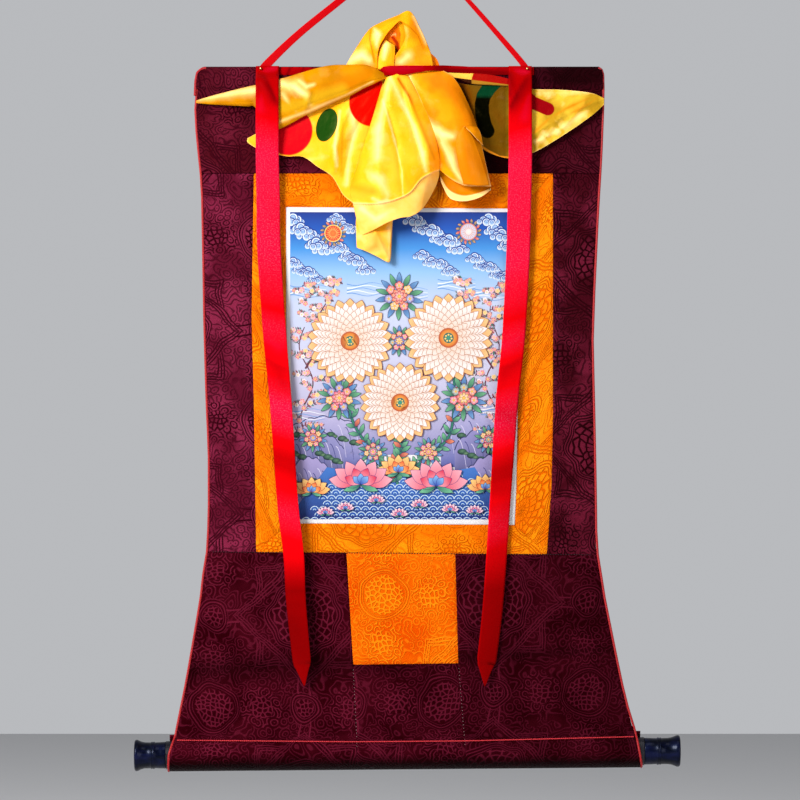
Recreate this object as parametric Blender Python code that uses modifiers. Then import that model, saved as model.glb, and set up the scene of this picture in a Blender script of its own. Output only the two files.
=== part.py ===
"""Small hung scroll painting in a pieced brocade mount, with its silk veil tied up at the head.

The origin is the point that the hanging ribbon hangs from, +Z is up and the painted side faces -Y.
Tables give places in millimetres: x is to the right, drop is the distance below the hanging point and
out is the distance towards the viewer from the middle plane of the hanging cloth.
"""

import math
from collections import namedtuple

import bmesh
import bpy
import numpy as np
from mathutils import Matrix, Vector

MM = 0.001
SEAM_INSET = 0.2  # mm that each pieced panel draws back at its seams
SHORTEST_STEP = 1.5  # mm along a ribbon

# Cloths
BROCADE_THICK = 0.002
CANVAS_THICK = 0.0014
HEM_THICK = 0.006
SILK_THICK = 0.0016
RIBBON_THICK = 0.0012
PIPING_RADIUS = 1.5  # mm
THREAD_RADIUS = 0.8  # mm
PIPING_SWELL = 1.03  # how far the piping stands out from the roller's damask
EDGE_TO_CLOTH = 2 * PIPING_RADIUS + 0.9  # mm from the outline to the damask

# Roller, in millimetres
ROLLER_RADIUS = 18.3
HEM_RADIUS = 20.0
ROLLER_LEFT, ROLLER_RIGHT = -317.0, 304.0
KNOB_LEFT_LENGTH, KNOB_RIGHT_LENGTH = 40.7, 46.7
AXIS_DROP_LEFT, AXIS_DROP_RIGHT = 1058.5, 1053.2

# Heights of the seams, in millimetres below the hanging point
HEAD = 164.0
SHOULDER = 302.0
WAIST_LEFT, WAIST_RIGHT = 794.0, 798.0
WAIST_START, WAIST_END = -265.0, 244.0  # where the waist seam has those heights
HEM_TURN = 30.0  # the damask starts to wrap this far above the roller's axis

# Rows of the damask, which its piping shares
HEAD_SHARES = [0, 0.012, 0.06, 0.17, 0.2, 0.4, 0.6, 0.8, 1]
HEM_ROWS = 3
SIDE_ROWS = 16
HANG_ROWS = 8

Edge = namedtuple("Edge", "drop x")
Strip = namedtuple("Strip", "x drop out width turn")
Roll = namedtuple("Roll", "x top bottom out curl")
Turn = namedtuple("Turn", "along radius")
Colour = namedtuple("Colour", "red green blue rough metal")

OUTLINE_LEFT = [
    Edge(164, -264), Edge(166, -269), Edge(172, -271), Edge(198, -281), Edge(237, -280), Edge(289, -275),
    Edge(316, -272), Edge(370, -271), Edge(424, -270), Edge(493, -269), Edge(597, -266), Edge(663, -263),
    Edge(746, -263), Edge(792, -265), Edge(812, -269), Edge(857, -274), Edge(961, -292), Edge(1010, -302),
    Edge(1035, -307), Edge(1056, -314), Edge(1074, -315),
]
OUTLINE_RIGHT = [
    Edge(164, 244), Edge(166, 250), Edge(174, 253), Edge(207, 253), Edge(285, 250), Edge(350, 246),
    Edge(415, 243), Edge(458, 241), Edge(521, 239), Edge(610, 241), Edge(712, 243), Edge(788, 244),
    Edge(812, 248), Edge(857, 255), Edge(961, 276), Edge(985, 282), Edge(1010, 288), Edge(1032, 294),
    Edge(1075, 302),
]
BORDER_LEFT = [Edge(302, -203), Edge(493, -206), Edge(597, -203), Edge(795, -200)]
BORDER_RIGHT = [Edge(302, 186), Edge(623, 186), Edge(712, 184), Edge(798, 178)]
PAINTING_LEFT = [Edge(346, -161), Edge(493, -161), Edge(597, -159), Edge(757, -156)]
PAINTING_RIGHT = [Edge(348, 143), Edge(597, 140), Edge(712, 138), Edge(759, 136)]
SEAM_LEFT = [Edge(794, -83), Edge(941, -74), Edge(1039, -69), Edge(1078, -68)]
SEAM_RIGHT = [Edge(794, 59), Edge(939, 63), Edge(1039, 71), Edge(1078, 74)]
STITCH_LINE = [(-302.4, 20.0), (-72, 16.4), (72, 16.3), (290.2, 19.6)]  # x, rise above the roller's axis

STREAMER_LEFT = [
    Strip(-185, 163, 6.9, 30, 0), Strip(-185, 170, 7.6, 30, 0), Strip(-185, 175, 12.5, 30, 0),
    Strip(-185, 181, 19.5, 30, 0), Strip(-185, 192, 22.5, 30, 0), Strip(-185, 215, 24, 30, 0),
    Strip(-185, 240, 22.5, 30, 0), Strip(-185, 285, 14.5, 30, 0), Strip(-184, 340, 10, 30.5, 0),
    Strip(-183, 402, 9, 30.5, 0), Strip(-175, 519, 9, 30.5, 8), Strip(-168, 597, 10, 29.5, 14),
    Strip(-159, 727, 11.5, 29, 20), Strip(-151, 798, 11.5, 29, 22), Strip(-148, 857, 12, 28.5, 25),
    Strip(-141, 930, 12, 27, 28), Strip(-140, 941, 11.5, 24.5, 28), Strip(-137, 968, 11, 1.2, 28),
]
STREAMER_RIGHT = [
    Strip(143, 163, 6.9, 30, 0), Strip(143, 170, 7.4, 30, 0), Strip(143, 180, 12, 30.5, 0),
    Strip(143, 200, 14.5, 30.5, 0), Strip(143, 240, 15, 30.5, 0), Strip(143, 285, 14, 30.5, 0),
    Strip(142, 340, 10, 30.5, 0), Strip(140, 415, 9, 30.5, 0), Strip(134, 521, 9, 30, -8),
    Strip(126, 597, 10, 30, -14), Strip(117, 727, 12, 30, -26), Strip(108, 857, 12.5, 29.5, -26),
    Strip(100, 930, 12.5, 29, -30), Strip(98.5, 941, 12, 24.5, -30), Strip(97, 968, 11, 1.2, -30),
]
TIE_BAND = [
    Strip(-203, 169.5, 3.9, 10.5, 0), Strip(-150, 169.5, 3.9, 10.5, 0), Strip(-110, 170.5, 4.1, 10, 0),
    Strip(-75, 171, 5.2, 10, 0), Strip(-58, 171, 7.5, 10, 0), Strip(-44, 171, 13.5, 10.5, 0),
    Strip(-34, 171, 19, 10.5, 0), Strip(-24, 170.5, 22.2, 10.5, 0), Strip(-8, 170, 23.4, 10, 0),
    Strip(8, 169, 23, 9, 0), Strip(22, 168, 21, 8, 0), Strip(32, 167, 18, 7.5, 0),
    Strip(42, 166.5, 12.5, 8, 0), Strip(52, 166.8, 7, 8.5, 0), Strip(66, 167.5, 4.8, 9, 0),
    Strip(90, 169, 3.9, 10, 0), Strip(161, 169.5, 3.9, 10.5, 0),
]
HANGING_RIBBON = [
    Strip(-194, 173, 5.4, 12, 0), Strip(-184, 159, 5.4, 11, 0), Strip(-143, 120, 5, 9.5, 0),
    Strip(-84, 72, 3, 9, 8), Strip(-36, 31, 1, 8.5, 35), Strip(-9, 7, 0, 8, 80),
    Strip(-3.5, 0.9, 0, 8, 90), Strip(0, -0.6, 0, 8, 90), Strip(3.5, 1.2, 0, 8, 90),
    Strip(9, 8.5, 0, 8, 80), Strip(40, 41, 1, 8.5, 55), Strip(74, 76, 3, 8.5, 45),
    Strip(117, 125, 5, 8.5, 25), Strip(145, 158, 5.4, 9, 0), Strip(154, 173, 5.4, 10, 0),
]
PIN_RADIUS = 1.6  # mm
PINS = {"pin_left": (-194, 166.5, 9.9), "pin_right": (152, 166.5, 9.8)}

# The veil. Each rib of a fall or of the hood runs from the gather to the hem, in places (x, drop, out).
# Each row of a rolled side is a station along it.
GATHER_CENTRE = (-3, 171, 12.5)
GATHER_HALF = (37, 12, 7)
FALL_ROOT_HALF = (31, 8)
FALL_ROOT_TURN = (168, 10)  # degrees round the gather, from its left end to its right end
FALL = [  # from left to right, below their roots on the gather
    ((-84, 207, 11), (-143, 234, 9), (-182, 250, 8), (-211, 260, 7)),
    ((-78, 214, 12), (-124, 243, 10), (-156, 266, 9), (-170, 278, 9)),
    ((-68, 217, 14), (-94, 251, 12), (-114, 282, 11), (-130, 290, 11)),
    ((-57, 217, 20), (-75, 254, 20), (-91, 295, 18), (-99, 315, 16)),
    ((-49, 217, 18), (-65, 259, 16), (-78, 311, 16), (-84, 337, 16)),
    ((-43, 220, 26), (-55, 259, 30), (-69, 317, 32), (-70, 355, 30)),
    ((-31, 220, 34), (-36, 259, 42), (-42, 324, 40), (-44, 374, 34)),
    ((-17, 220, 30), (-16, 259, 37), (-13, 324, 40), (-16, 363, 35)),
    ((-8, 220, 33), (0, 265, 42), (8, 317, 40), (5, 358, 34)),
    ((1, 217, 30), (13, 259, 36), (22, 304, 35), (23, 338, 30)),
    ((10, 213, 33), (23, 252, 38), (31, 285, 34), (36, 308, 28)),
    ((20, 211, 26), (30, 246, 26), (35, 278, 22), (38, 303, 17)),
    ((27, 207, 30), (40, 246, 34), (47, 291, 34), (47, 330, 26)),
    ((33, 198, 33), (52, 243, 38), (60, 291, 38), (55, 339, 30)),
    ((38, 190, 32), (64, 246, 33), (70, 298, 30), (70, 339, 30)),
    ((42, 184, 30), (72, 240, 25), (83, 291, 22), (83, 336, 26)),
    ((44, 179, 26), (80, 232, 18), (96, 285, 17), (98, 332, 22)),
    ((44, 175, 22), (74, 206, 14), (89, 256, 12), (105, 323, 15)),
]
TAIL = [
    ((-29, 175, 9.5), (-57, 259, 8), (-69, 330, 8), (-70, 369, 9), (-69, 399, 9)),
    ((-25, 175, 9.5), (-47, 259, 9), (-55, 330, 11), (-51, 378, 12), (-47, 408, 12)),
    ((-21, 175, 9.5), (-34, 259, 9), (-36, 330, 12), (-29, 385, 13), (-27, 417, 12)),
    ((-17, 175, 9.5), (-21, 259, 8), (-21, 330, 10), (-22, 369, 10), (-25, 395, 10)),
]
HOOD = [
    ((-33, 164.5, 12), (-84, 161.5, 8), (-65, 133, 8), (-51, 113, 9)),
    ((-30, 166, 13), (-70, 158, 14), (-49, 126, 15), (-36, 106, 12)),
    ((-27, 167, 14), (-55, 154, 19), (-35, 125, 20), (-22, 99, 14)),
    ((-25, 168, 15), (-36, 151, 23), (-27, 129, 23), (-13, 95, 16)),
    ((-20, 168, 13), (-25, 151, 12), (-20, 131, 10), (-8, 93, 13)),
    ((-14, 168, 14), (-17, 152, 15), (-16, 134, 9), (-5, 92, 13)),
    ((-6, 168, 15), (-5, 152, 18), (-4, 131, 18), (-1, 93, 16)),
    ((4, 168, 15), (6, 150, 22), (6, 129, 20), (2, 95, 16)),
    ((12, 168, 14), (17, 151, 19), (14, 133, 17), (6, 101, 14)),
    ((20, 167, 12), (26, 151, 10), (22, 135, 10), (13, 113, 11)),
    ((24, 167, 9), (32, 155, 6), (26, 142, 7), (18, 125, 9)),
]
ROLLED_SIDE = [
    Roll(-26, 177, 181, 13, 0.5), Roll(-36, 177.5, 183.5, 20, 0.5), Roll(-44, 171, 186, 23, 1),
    Roll(-58, 163, 193, 25, 3), Roll(-98, 162, 210, 24, 6), Roll(-136, 170, 230, 22, 6),
    Roll(-170, 177, 244, 19, 6), Roll(-192, 183, 230, 17, 6), Roll(-214, 190, 215, 14, 5),
    Roll(-254, 201, 213, 9, 2), Roll(-278, 209, 214, 6, 0),
]
WING = [
    Roll(18, 171, 181, 10, 0), Roll(46, 178, 207, 8, 0), Roll(68, 186, 243, 7, 0),
    Roll(91, 188, 269, 7.5, 0), Roll(127, 188, 283, 8, 0), Roll(159, 193, 276, 8, 0),
    Roll(196, 194, 255, 8.5, 0), Roll(234, 198, 229, 9, 0), Roll(252, 205, 213, 7, 0),
]
WING_TOP = [
    Roll(22, 173, 178, 13, 0), Roll(47, 172, 177, 11.5, 0), Roll(68, 173, 179, 11, 0),
    Roll(86, 173, 182, 11, 0), Roll(107, 175, 185, 11, 0), Roll(125, 179, 188, 10.5, 0),
]
KNOB_PROFILE = [  # share of the knob's length from the damask outwards, radius in mm
    Turn(0.0, 17.4), Turn(0.15, 17.2), Turn(0.34, 16.8), Turn(0.37, 17.7), Turn(0.44, 17.7),
    Turn(0.47, 16.8), Turn(0.66, 17.0), Turn(0.8, 18.4), Turn(0.88, 20.1), Turn(0.94, 20.5),
    Turn(0.985, 19.4), Turn(1.0, 17.2),
]

DAMASK = Colour(0.09, 0.004, 0.018, 0.6, 0.0)
SAFFRON = Colour(1.0, 0.30, 0.004, 0.55, 0.0)
CANVAS = Colour(0.45, 0.55, 0.80, 0.8, 0.0)
RED_SATIN = Colour(0.78, 0.002, 0.015, 0.35, 0.0)
YELLOW_SILK = Colour(1.0, 0.58, 0.01, 0.35, 0.0)
LACQUER = Colour(0.006, 0.007, 0.03, 0.25, 0.0)
WOOD = Colour(0.25, 0.13, 0.06, 0.6, 0.0)
GILT = Colour(0.9, 0.65, 0.25, 0.3, 1.0)


def place(x, drop, out):
    return Vector((x * MM, -out * MM, -drop * MM))


def mix(first, last, share):
    return first + (last - first) * share


def x_at(edge, drop):
    return float(np.interp(drop, [row.drop for row in edge], [row.x for row in edge]))


def waist(x):
    return mix(WAIST_LEFT, WAIST_RIGHT, (x - WAIST_START) / (WAIST_END - WAIST_START))


def axis_drop(x):
    return mix(AXIS_DROP_LEFT, AXIS_DROP_RIGHT, (x - ROLLER_LEFT) / (ROLLER_RIGHT - ROLLER_LEFT))


def cloth_out(x, drop):
    """Soft waves of the hanging cloth, which die out at the head and above the roller."""
    share = min(max((drop - SHOULDER) / (AXIS_DROP_RIGHT - HEM_TURN - SHOULDER), 0.0), 1.0)
    waves = 1.5 * math.sin(x / 41) + 0.8 * math.sin(drop / 37 + x / 90)
    return math.sin(math.pi * share) * waves


def smooth_at(values, position):
    """Catmull-Rom value at a position counted in steps along a list of vectors."""
    last = len(values) - 1
    step = min(int(position), last - 1)
    t = position - step
    before, start, end, after = (values[min(max(step + k, 0), last)] for k in (-1, 0, 1, 2))
    if step == 0:
        before = 2 * start - end
    if step == last - 1:
        after = 2 * end - start
    return 0.5 * (2 * start + (end - before) * t + (2 * before - 5 * start + 4 * end - after) * t**2
                  + (3 * start - before - 3 * end + after) * t**3)


def new_material(name, colour):
    material = bpy.data.materials.new(name)
    material.use_nodes = True
    shader = material.node_tree.nodes["Principled BSDF"]
    shader.inputs["Base Color"].default_value = (colour.red, colour.green, colour.blue, 1.0)
    shader.inputs["Roughness"].default_value = colour.rough
    shader.inputs["Metallic"].default_value = colour.metal
    return material


def add_object(name, mesh, collection, colour):
    thing = bpy.data.objects.new(name, mesh)
    collection.objects.link(thing)
    mesh.materials.append(new_material(name, colour))
    return thing


def sheet(name, columns, rows, surface, thickness, collection, colour):
    """A thin cloth: a grid laid on surface(u, v), in millimetres, and given its thickness."""
    grid = bmesh.new()
    bmesh.ops.create_grid(grid, x_segments=columns, y_segments=rows, size=0.5)
    for vertex in grid.verts:
        vertex.co = place(*surface(round((vertex.co.x + 0.5) * columns) / columns,
                                   round((vertex.co.y + 0.5) * rows) / rows))
    mesh = bpy.data.meshes.new(name)
    grid.to_mesh(mesh)
    grid.free()
    thing = add_object(name, mesh, collection, colour)
    solidify = thing.modifiers.new("Thickness", "SOLIDIFY")
    solidify.thickness = thickness
    solidify.offset = 0.0
    return thing


def panel(name, side_a, side_b, columns, rows, thickness, collection, colour):
    """A flat pieced panel between two sides, each a function of the share of its length giving (x, drop)."""
    width = math.dist(side_a(0.5), side_b(0.5))
    length = math.dist(side_a(0.0), side_a(1.0))

    def surface(u, v):
        across = mix(SEAM_INSET / width, 1 - SEAM_INSET / width, u)
        along = mix(SEAM_INSET / length, 1 - SEAM_INSET / length, v)
        start, end = side_a(along), side_b(along)
        x, drop = mix(start[0], end[0], across), mix(start[1], end[1], across)
        return x, drop, cloth_out(x, drop)

    return sheet(name, columns, rows, surface, thickness, collection, colour)


def side(edge, top, bottom, inward=0.0):
    """The stretch of an edge table between two heights, drawn in by a distance."""
    return lambda share: (x_at(edge, mix(top, bottom, share)) + inward, mix(top, bottom, share))


def straight(start, end):
    return lambda share: (mix(start[0], end[0], share), mix(start[1], end[1], share))


def add_head(parts):
    """The top strip, whose thick hem holds the stave."""
    shares = HEAD_SHARES
    left = side(OUTLINE_LEFT, HEAD, SHOULDER, EDGE_TO_CLOTH)
    right = side(OUTLINE_RIGHT, HEAD, SHOULDER, -EDGE_TO_CLOTH)

    def surface(u, v):
        share = shares[round(v * (len(shares) - 1))]
        start, end = left(share), right(share)
        return mix(start[0], end[0], u), mix(HEAD, SHOULDER - SEAM_INSET, share), 0.0

    head = sheet("brocade_top", 16, len(shares) - 1, surface, HEM_THICK, parts, DAMASK)
    hem = head.vertex_groups.new(name="hem")
    hem_end = -(mix(HEAD, SHOULDER, shares[HEM_ROWS]) + 1) * MM
    hem.add([vertex.index for vertex in head.data.vertices if vertex.co.z > hem_end], 1.0, "REPLACE")
    thickness = head.modifiers["Thickness"]
    thickness.vertex_group = hem.name
    thickness.thickness_vertex_group = BROCADE_THICK / HEM_THICK


def add_upper_panels(parts):
    (painting_top_left, painting_top_right), (painting_foot_left, painting_foot_right) = (
        [(edge[end].x, edge[end].drop) for edge in (PAINTING_LEFT, PAINTING_RIGHT)] for end in (0, -1))
    frame_top_left, frame_top_right = (BORDER_LEFT[0].x, SHOULDER), (BORDER_RIGHT[0].x, SHOULDER)
    frame_foot_left = (BORDER_LEFT[-1].x, waist(BORDER_LEFT[-1].x))
    frame_foot_right = (BORDER_RIGHT[-1].x, waist(BORDER_RIGHT[-1].x))
    frame_left = side(BORDER_LEFT, SHOULDER, frame_foot_left[1])
    frame_right = side(BORDER_RIGHT, SHOULDER, frame_foot_right[1])
    painting_left = side(PAINTING_LEFT, painting_top_left[1], painting_foot_left[1])
    painting_right = side(PAINTING_RIGHT, painting_top_right[1], painting_foot_right[1])
    edge_left = side(OUTLINE_LEFT, SHOULDER, WAIST_LEFT, EDGE_TO_CLOTH)
    edge_right = side(OUTLINE_RIGHT, SHOULDER, WAIST_RIGHT, -EDGE_TO_CLOTH)
    panel("brocade_left", edge_left, frame_left, 4, SIDE_ROWS, BROCADE_THICK, parts, DAMASK)
    panel("brocade_right", frame_right, edge_right, 4, SIDE_ROWS, BROCADE_THICK, parts, DAMASK)
    panel("border_left", frame_left, painting_left, 2, SIDE_ROWS, BROCADE_THICK, parts, SAFFRON)
    panel("border_right", painting_right, frame_right, 2, SIDE_ROWS, BROCADE_THICK, parts, SAFFRON)
    panel("border_top", straight(painting_top_left, painting_top_right), straight(frame_top_left, frame_top_right),
          2, 12, BROCADE_THICK, parts, SAFFRON)
    panel("border_bottom", straight(frame_foot_left, frame_foot_right),
          straight(painting_foot_left, painting_foot_right), 2, 12, BROCADE_THICK, parts, SAFFRON)
    panel("canvas", painting_left, painting_right, 10, SIDE_ROWS, CANVAS_THICK, parts, CANVAS)
    door_foot_left, door_foot_right = SEAM_LEFT[1], SEAM_RIGHT[1]
    panel("door_panel", side(SEAM_LEFT, waist(SEAM_LEFT[0].x), door_foot_left.drop),
          side(SEAM_RIGHT, waist(SEAM_RIGHT[0].x), door_foot_right.drop), 5, 6, BROCADE_THICK, parts, SAFFRON)


def hem_section():
    """Places (out, rise above the roller's axis) where the damask runs down, round the roller and up behind."""
    down = [(0.0, HEM_TURN), (0.8, 25.5), (4.0, 21.3)]
    turns = [math.radians(angle) for angle in np.linspace(25, 340, 17)]
    wrap = [(HEM_RADIUS * math.sin(turn), HEM_RADIUS * math.cos(turn)) for turn in turns]
    return down + wrap + [(-3.7, 22.2), (-2.6, 26.0)]


def hem_drops(section):
    """Height whose width the wrapped hem has at each place: it widens no more once it turns up behind."""
    return [AXIS_DROP_LEFT - min(rise for _, rise in section[:k + 1]) for k in range(len(section))]


def add_foot(name, left, right, top_left, top_right, parts):
    """A lower damask piece: it hangs from its top seam and its hem is wrapped round the roller."""
    hang_rows = HANG_ROWS
    section = hem_section()
    widths = hem_drops(section)
    rows = hang_rows + len(section) - 1

    def surface(u, v):
        row = round(v * rows)
        inset = mix(SEAM_INSET, -SEAM_INSET, u)
        if row < hang_rows:
            share = row / hang_rows
            drops = [mix(top + SEAM_INSET, axis_drop(x_at(edge, top)) - HEM_TURN, share)
                     for top, edge in ((top_left, left), (top_right, right))]
            x = mix(x_at(left, drops[0]), x_at(right, drops[1]), u) + inset
            drop = mix(drops[0], drops[1], u)
            return x, drop, cloth_out(x, drop)
        out, rise = section[row - hang_rows]
        drop = widths[row - hang_rows]
        x = mix(x_at(left, drop), x_at(right, drop), u) + inset
        return x, axis_drop(x) - rise, out

    sheet(name, 5, rows, surface, BROCADE_THICK, parts, DAMASK)


def add_feet(parts):
    left = [Edge(row.drop, row.x + EDGE_TO_CLOTH) for row in OUTLINE_LEFT]
    right = [Edge(row.drop, row.x - EDGE_TO_CLOTH) for row in OUTLINE_RIGHT]
    door_left, door_right = SEAM_LEFT[1].drop, SEAM_RIGHT[1].drop
    add_foot("brocade_foot_left", left, SEAM_LEFT, waist(WAIST_START), waist(SEAM_LEFT[0].x), parts)
    add_foot("brocade_foot_middle", SEAM_LEFT, SEAM_RIGHT, door_left, door_right, parts)
    add_foot("brocade_foot_right", SEAM_RIGHT, right, waist(SEAM_RIGHT[0].x), waist(WAIST_END), parts)


def cord(name, places, radius, collection, colour):
    """A round cord through places in millimetres."""
    curve = bpy.data.curves.new(name, "CURVE")
    curve.dimensions = "3D"
    curve.bevel_depth = radius * MM
    curve.bevel_resolution = 2
    curve.use_fill_caps = True
    line = curve.splines.new("POLY")
    line.points.add(len(places) - 1)
    for point, spot in zip(line.points, places):
        point.co = (*place(*spot), 1.0)
    return add_object(name, curve, collection, colour)


def add_piping(parts):
    """Corded edges down both sides, which follow the hem round the roller's front."""
    section = hem_section()
    front = [k for k, (out, _) in enumerate(section) if out > -1]
    for name, outline, inward in (("piping_left", OUTLINE_LEFT, 1), ("piping_right", OUTLINE_RIGHT, -1)):
        top, start = HEAD + 4, waist(x_at(outline, WAIST_LEFT))
        drops = [mix(HEAD, SHOULDER, share) for share in HEAD_SHARES[2:-1]]
        drops += [mix(SHOULDER, start, k / SIDE_ROWS) for k in range(SIDE_ROWS)]
        turn = axis_drop(x_at(outline, start)) - HEM_TURN
        drops += [mix(start, turn, k / HANG_ROWS) for k in range(HANG_ROWS)]
        places = []
        for drop in [top, *drops]:
            places.append((x_at(outline, drop) + inward * PIPING_RADIUS, drop, cloth_out(x_at(outline, drop), drop)))
        for k in front:
            out, rise = section[k]
            swell = PIPING_SWELL if rise < HEM_RADIUS else 1.0
            x = x_at(outline, hem_drops(section)[k]) + inward * PIPING_RADIUS
            places.append((x, axis_drop(x) - rise * swell, out * swell))
        cord(name, places, PIPING_RADIUS, parts, RED_SATIN)


def add_stitching(parts):
    """The red stitched line that closes the hem over the roller."""
    reach = HEM_RADIUS + BROCADE_THICK / MM / 2 + 0.4 + THREAD_RADIUS
    places = []
    for x in np.linspace(STITCH_LINE[0][0], STITCH_LINE[-1][0], 22):
        rise = float(np.interp(x, [spot[0] for spot in STITCH_LINE], [spot[1] for spot in STITCH_LINE]))
        turn = math.acos(rise / reach)
        places.append((float(x), axis_drop(float(x)) - rise, reach * math.sin(turn)))
    cord("piping_roller", places, THREAD_RADIUS, parts, RED_SATIN)


def turned(name, profile, steps, collection, colour):
    """A turned piece on the Z axis, from a profile of (radius, height) rows read from top to bottom, in mm."""
    mesh = bpy.data.meshes.new(name)
    rows = [(0.0, profile[0][1]), *profile, (0.0, profile[-1][1])]
    mesh.from_pydata([(radius * MM, 0.0, height * MM) for radius, height in rows],
                     [(k, k + 1) for k in range(len(rows) - 1)], [])
    thing = add_object(name, mesh, collection, colour)
    screw = thing.modifiers.new("Turn", "SCREW")
    screw.steps = steps
    screw.render_steps = steps
    screw.use_merge_vertices = True
    screw.merge_threshold = 0.00001
    return thing


def add_roller(parts):
    tilt = math.atan2(AXIS_DROP_LEFT - AXIS_DROP_RIGHT, ROLLER_RIGHT - ROLLER_LEFT)
    to_right = Matrix.Rotation(math.pi / 2 - tilt, 4, "Y")
    to_left = Matrix.Rotation(-math.pi / 2 - tilt, 4, "Y")
    length = (ROLLER_RIGHT - ROLLER_LEFT) / math.cos(tilt)
    rod = turned("roller", [(ROLLER_RADIUS, length), (ROLLER_RADIUS, 0.0)], 32, parts, WOOD)
    rod.matrix_world = Matrix.Translation(place(ROLLER_LEFT, AXIS_DROP_LEFT, 0)) @ to_right
    knobs = (
        ("knob_left", ROLLER_LEFT - 0.3, KNOB_LEFT_LENGTH, to_left),
        ("knob_right", ROLLER_RIGHT + 0.3, KNOB_RIGHT_LENGTH, to_right),
    )
    for name, x, size, heading in knobs:
        profile = [(row.radius, row.along * size) for row in reversed(KNOB_PROFILE)]
        knob = turned(name, profile, 24, parts, LACQUER)
        knob.matrix_world = Matrix.Translation(place(x, axis_drop(x), 0)) @ heading


def ribbon(name, rows, count, parts):
    """A flat ribbon along rows of places, with a width and a turn in degrees about its own run."""
    centres = [Vector((row.x, row.drop, row.out)) for row in rows]
    marks = np.cumsum([0.0] + [(b - a).length for a, b in zip(centres, centres[1:])])
    steps = sorted(set(np.linspace(0, marks[-1], count)) | set(marks))
    steps = [step for step, after in zip(steps, [*steps[1:], math.inf]) if after - step > SHORTEST_STEP]
    spots = [float(np.interp(step, marks, range(len(rows)))) for step in steps]

    def surface(u, v):
        position = spots[round(v * (len(spots) - 1))]
        centre = smooth_at(centres, position)
        run = smooth_at(centres, min(position + 0.02, len(rows) - 1)) - smooth_at(centres, max(position - 0.02, 0))
        across = Vector((-run.y, run.x, 0)).normalized()
        width = float(np.interp(position, range(len(rows)), [row.width for row in rows]))
        turn = math.radians(float(np.interp(position, range(len(rows)), [row.turn for row in rows])))
        reach = (u - 0.5) * width
        return tuple(centre + across * (reach * math.cos(turn)) + Vector((0, 0, reach * math.sin(turn))))

    sheet(name, 2, len(spots) - 1, surface, RIBBON_THICK, parts, RED_SATIN)


def add_ribbons(parts):
    ribbon("tie_band", TIE_BAND, 34, parts)
    ribbon("hanging_ribbon", HANGING_RIBBON, 34, parts)
    ribbon("streamer_left", STREAMER_LEFT, 40, parts)
    ribbon("streamer_right", STREAMER_RIGHT, 40, parts)
    for name, spot in PINS.items():
        head = bmesh.new()
        bmesh.ops.create_uvsphere(head, u_segments=12, v_segments=8, radius=PIN_RADIUS * MM)
        mesh = bpy.data.meshes.new(name)
        head.to_mesh(mesh)
        head.free()
        pin = add_object(name, mesh, parts, GILT)
        pin.location = place(*spot)


def ribbed(ribs):
    """Smooth surface through ribs, u across them and v along them."""
    lines = [[Vector(spot) for spot in rib] for rib in ribs]

    def surface(u, v):
        across = [smooth_at(line, v * (len(line) - 1)) for line in lines]
        return tuple(smooth_at(across, u * (len(lines) - 1)))

    return surface


def rolled(rows):
    """Smooth surface along stations, whose long edges curl back."""
    stations = [(Vector((row.x, row.top, row.out)), Vector((row.bottom, row.curl, 0))) for row in rows]

    def surface(u, v):
        position = v * (len(rows) - 1)
        x, top, out = smooth_at([spot for spot, _ in stations], position)
        bottom, curl, _ = smooth_at([spot for _, spot in stations], position)
        return x, mix(top, bottom, u), out - curl * (2 * u - 1) ** 4

    return surface


def with_roots(ribs):
    """Each rib of the fall, started on an arc round the lower half of the gather."""
    x, drop, out = GATHER_CENTRE
    turns = [math.radians(turn) for turn in np.linspace(*FALL_ROOT_TURN, len(ribs))]
    return [((x + FALL_ROOT_HALF[0] * math.cos(turn), drop + FALL_ROOT_HALF[1] * math.sin(turn), out), *rib)
            for turn, rib in zip(turns, ribs)]


def add_veil(parts):
    """One silk cloth: every leaf grows from the gather that the ribbon ties."""
    gather = bmesh.new()
    bmesh.ops.create_uvsphere(gather, u_segments=20, v_segments=12, radius=1.0)
    half = GATHER_HALF
    bmesh.ops.scale(gather, verts=gather.verts, vec=Vector((half[0], half[2], half[1])) * MM)
    bmesh.ops.translate(gather, verts=gather.verts, vec=place(*GATHER_CENTRE))
    mesh = bpy.data.meshes.new("veil")
    gather.to_mesh(mesh)
    gather.free()
    veil = add_object("veil", mesh, parts, YELLOW_SILK)
    leaves = (
        ("fall", ribbed(with_roots(FALL)), 34, 12), ("tail", ribbed(TAIL), 4, 8), ("hood", ribbed(HOOD), 20, 8),
        ("rolled_side", rolled(ROLLED_SIDE), 6, 16), ("wing", rolled(WING), 6, 12), ("wing_top", rolled(WING_TOP), 2, 6),
    )
    cutters = bpy.data.collections.new("veil leaves")
    bpy.context.scene.collection.children.link(cutters)
    for name, surface, columns, rows in leaves:
        leaf = sheet(f"veil_{name}", columns, rows, surface, SILK_THICK, cutters, YELLOW_SILK)
        leaf.hide_render = True
        leaf.display_type = "WIRE"
        join = veil.modifiers.new(f"Join {name}", "BOOLEAN")
        join.operation = "UNION"
        join.object = leaf


def main():
    for thing in list(bpy.data.objects):
        bpy.data.objects.remove(thing, do_unlink=True)
    parts = bpy.data.collections.new("scroll_painting")
    bpy.context.scene.collection.children.link(parts)
    add_head(parts)
    add_upper_panels(parts)
    add_feet(parts)
    add_piping(parts)
    add_stitching(parts)
    add_roller(parts)
    add_ribbons(parts)
    add_veil(parts)


main()
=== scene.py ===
"""Looks of the hung scroll painting: figured brocade, painted canvas, satin, tied silk, lacquered knobs.

Tables give places in millimetres: x is to the right, drop is the distance below the hanging point and out is
the distance towards the viewer from the middle plane of the hanging cloth. Colours given to srgb are as they
look in the lit scene, from 0 to 255 or a little more, and the others are linear.
"""

import math
from collections import namedtuple

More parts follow.
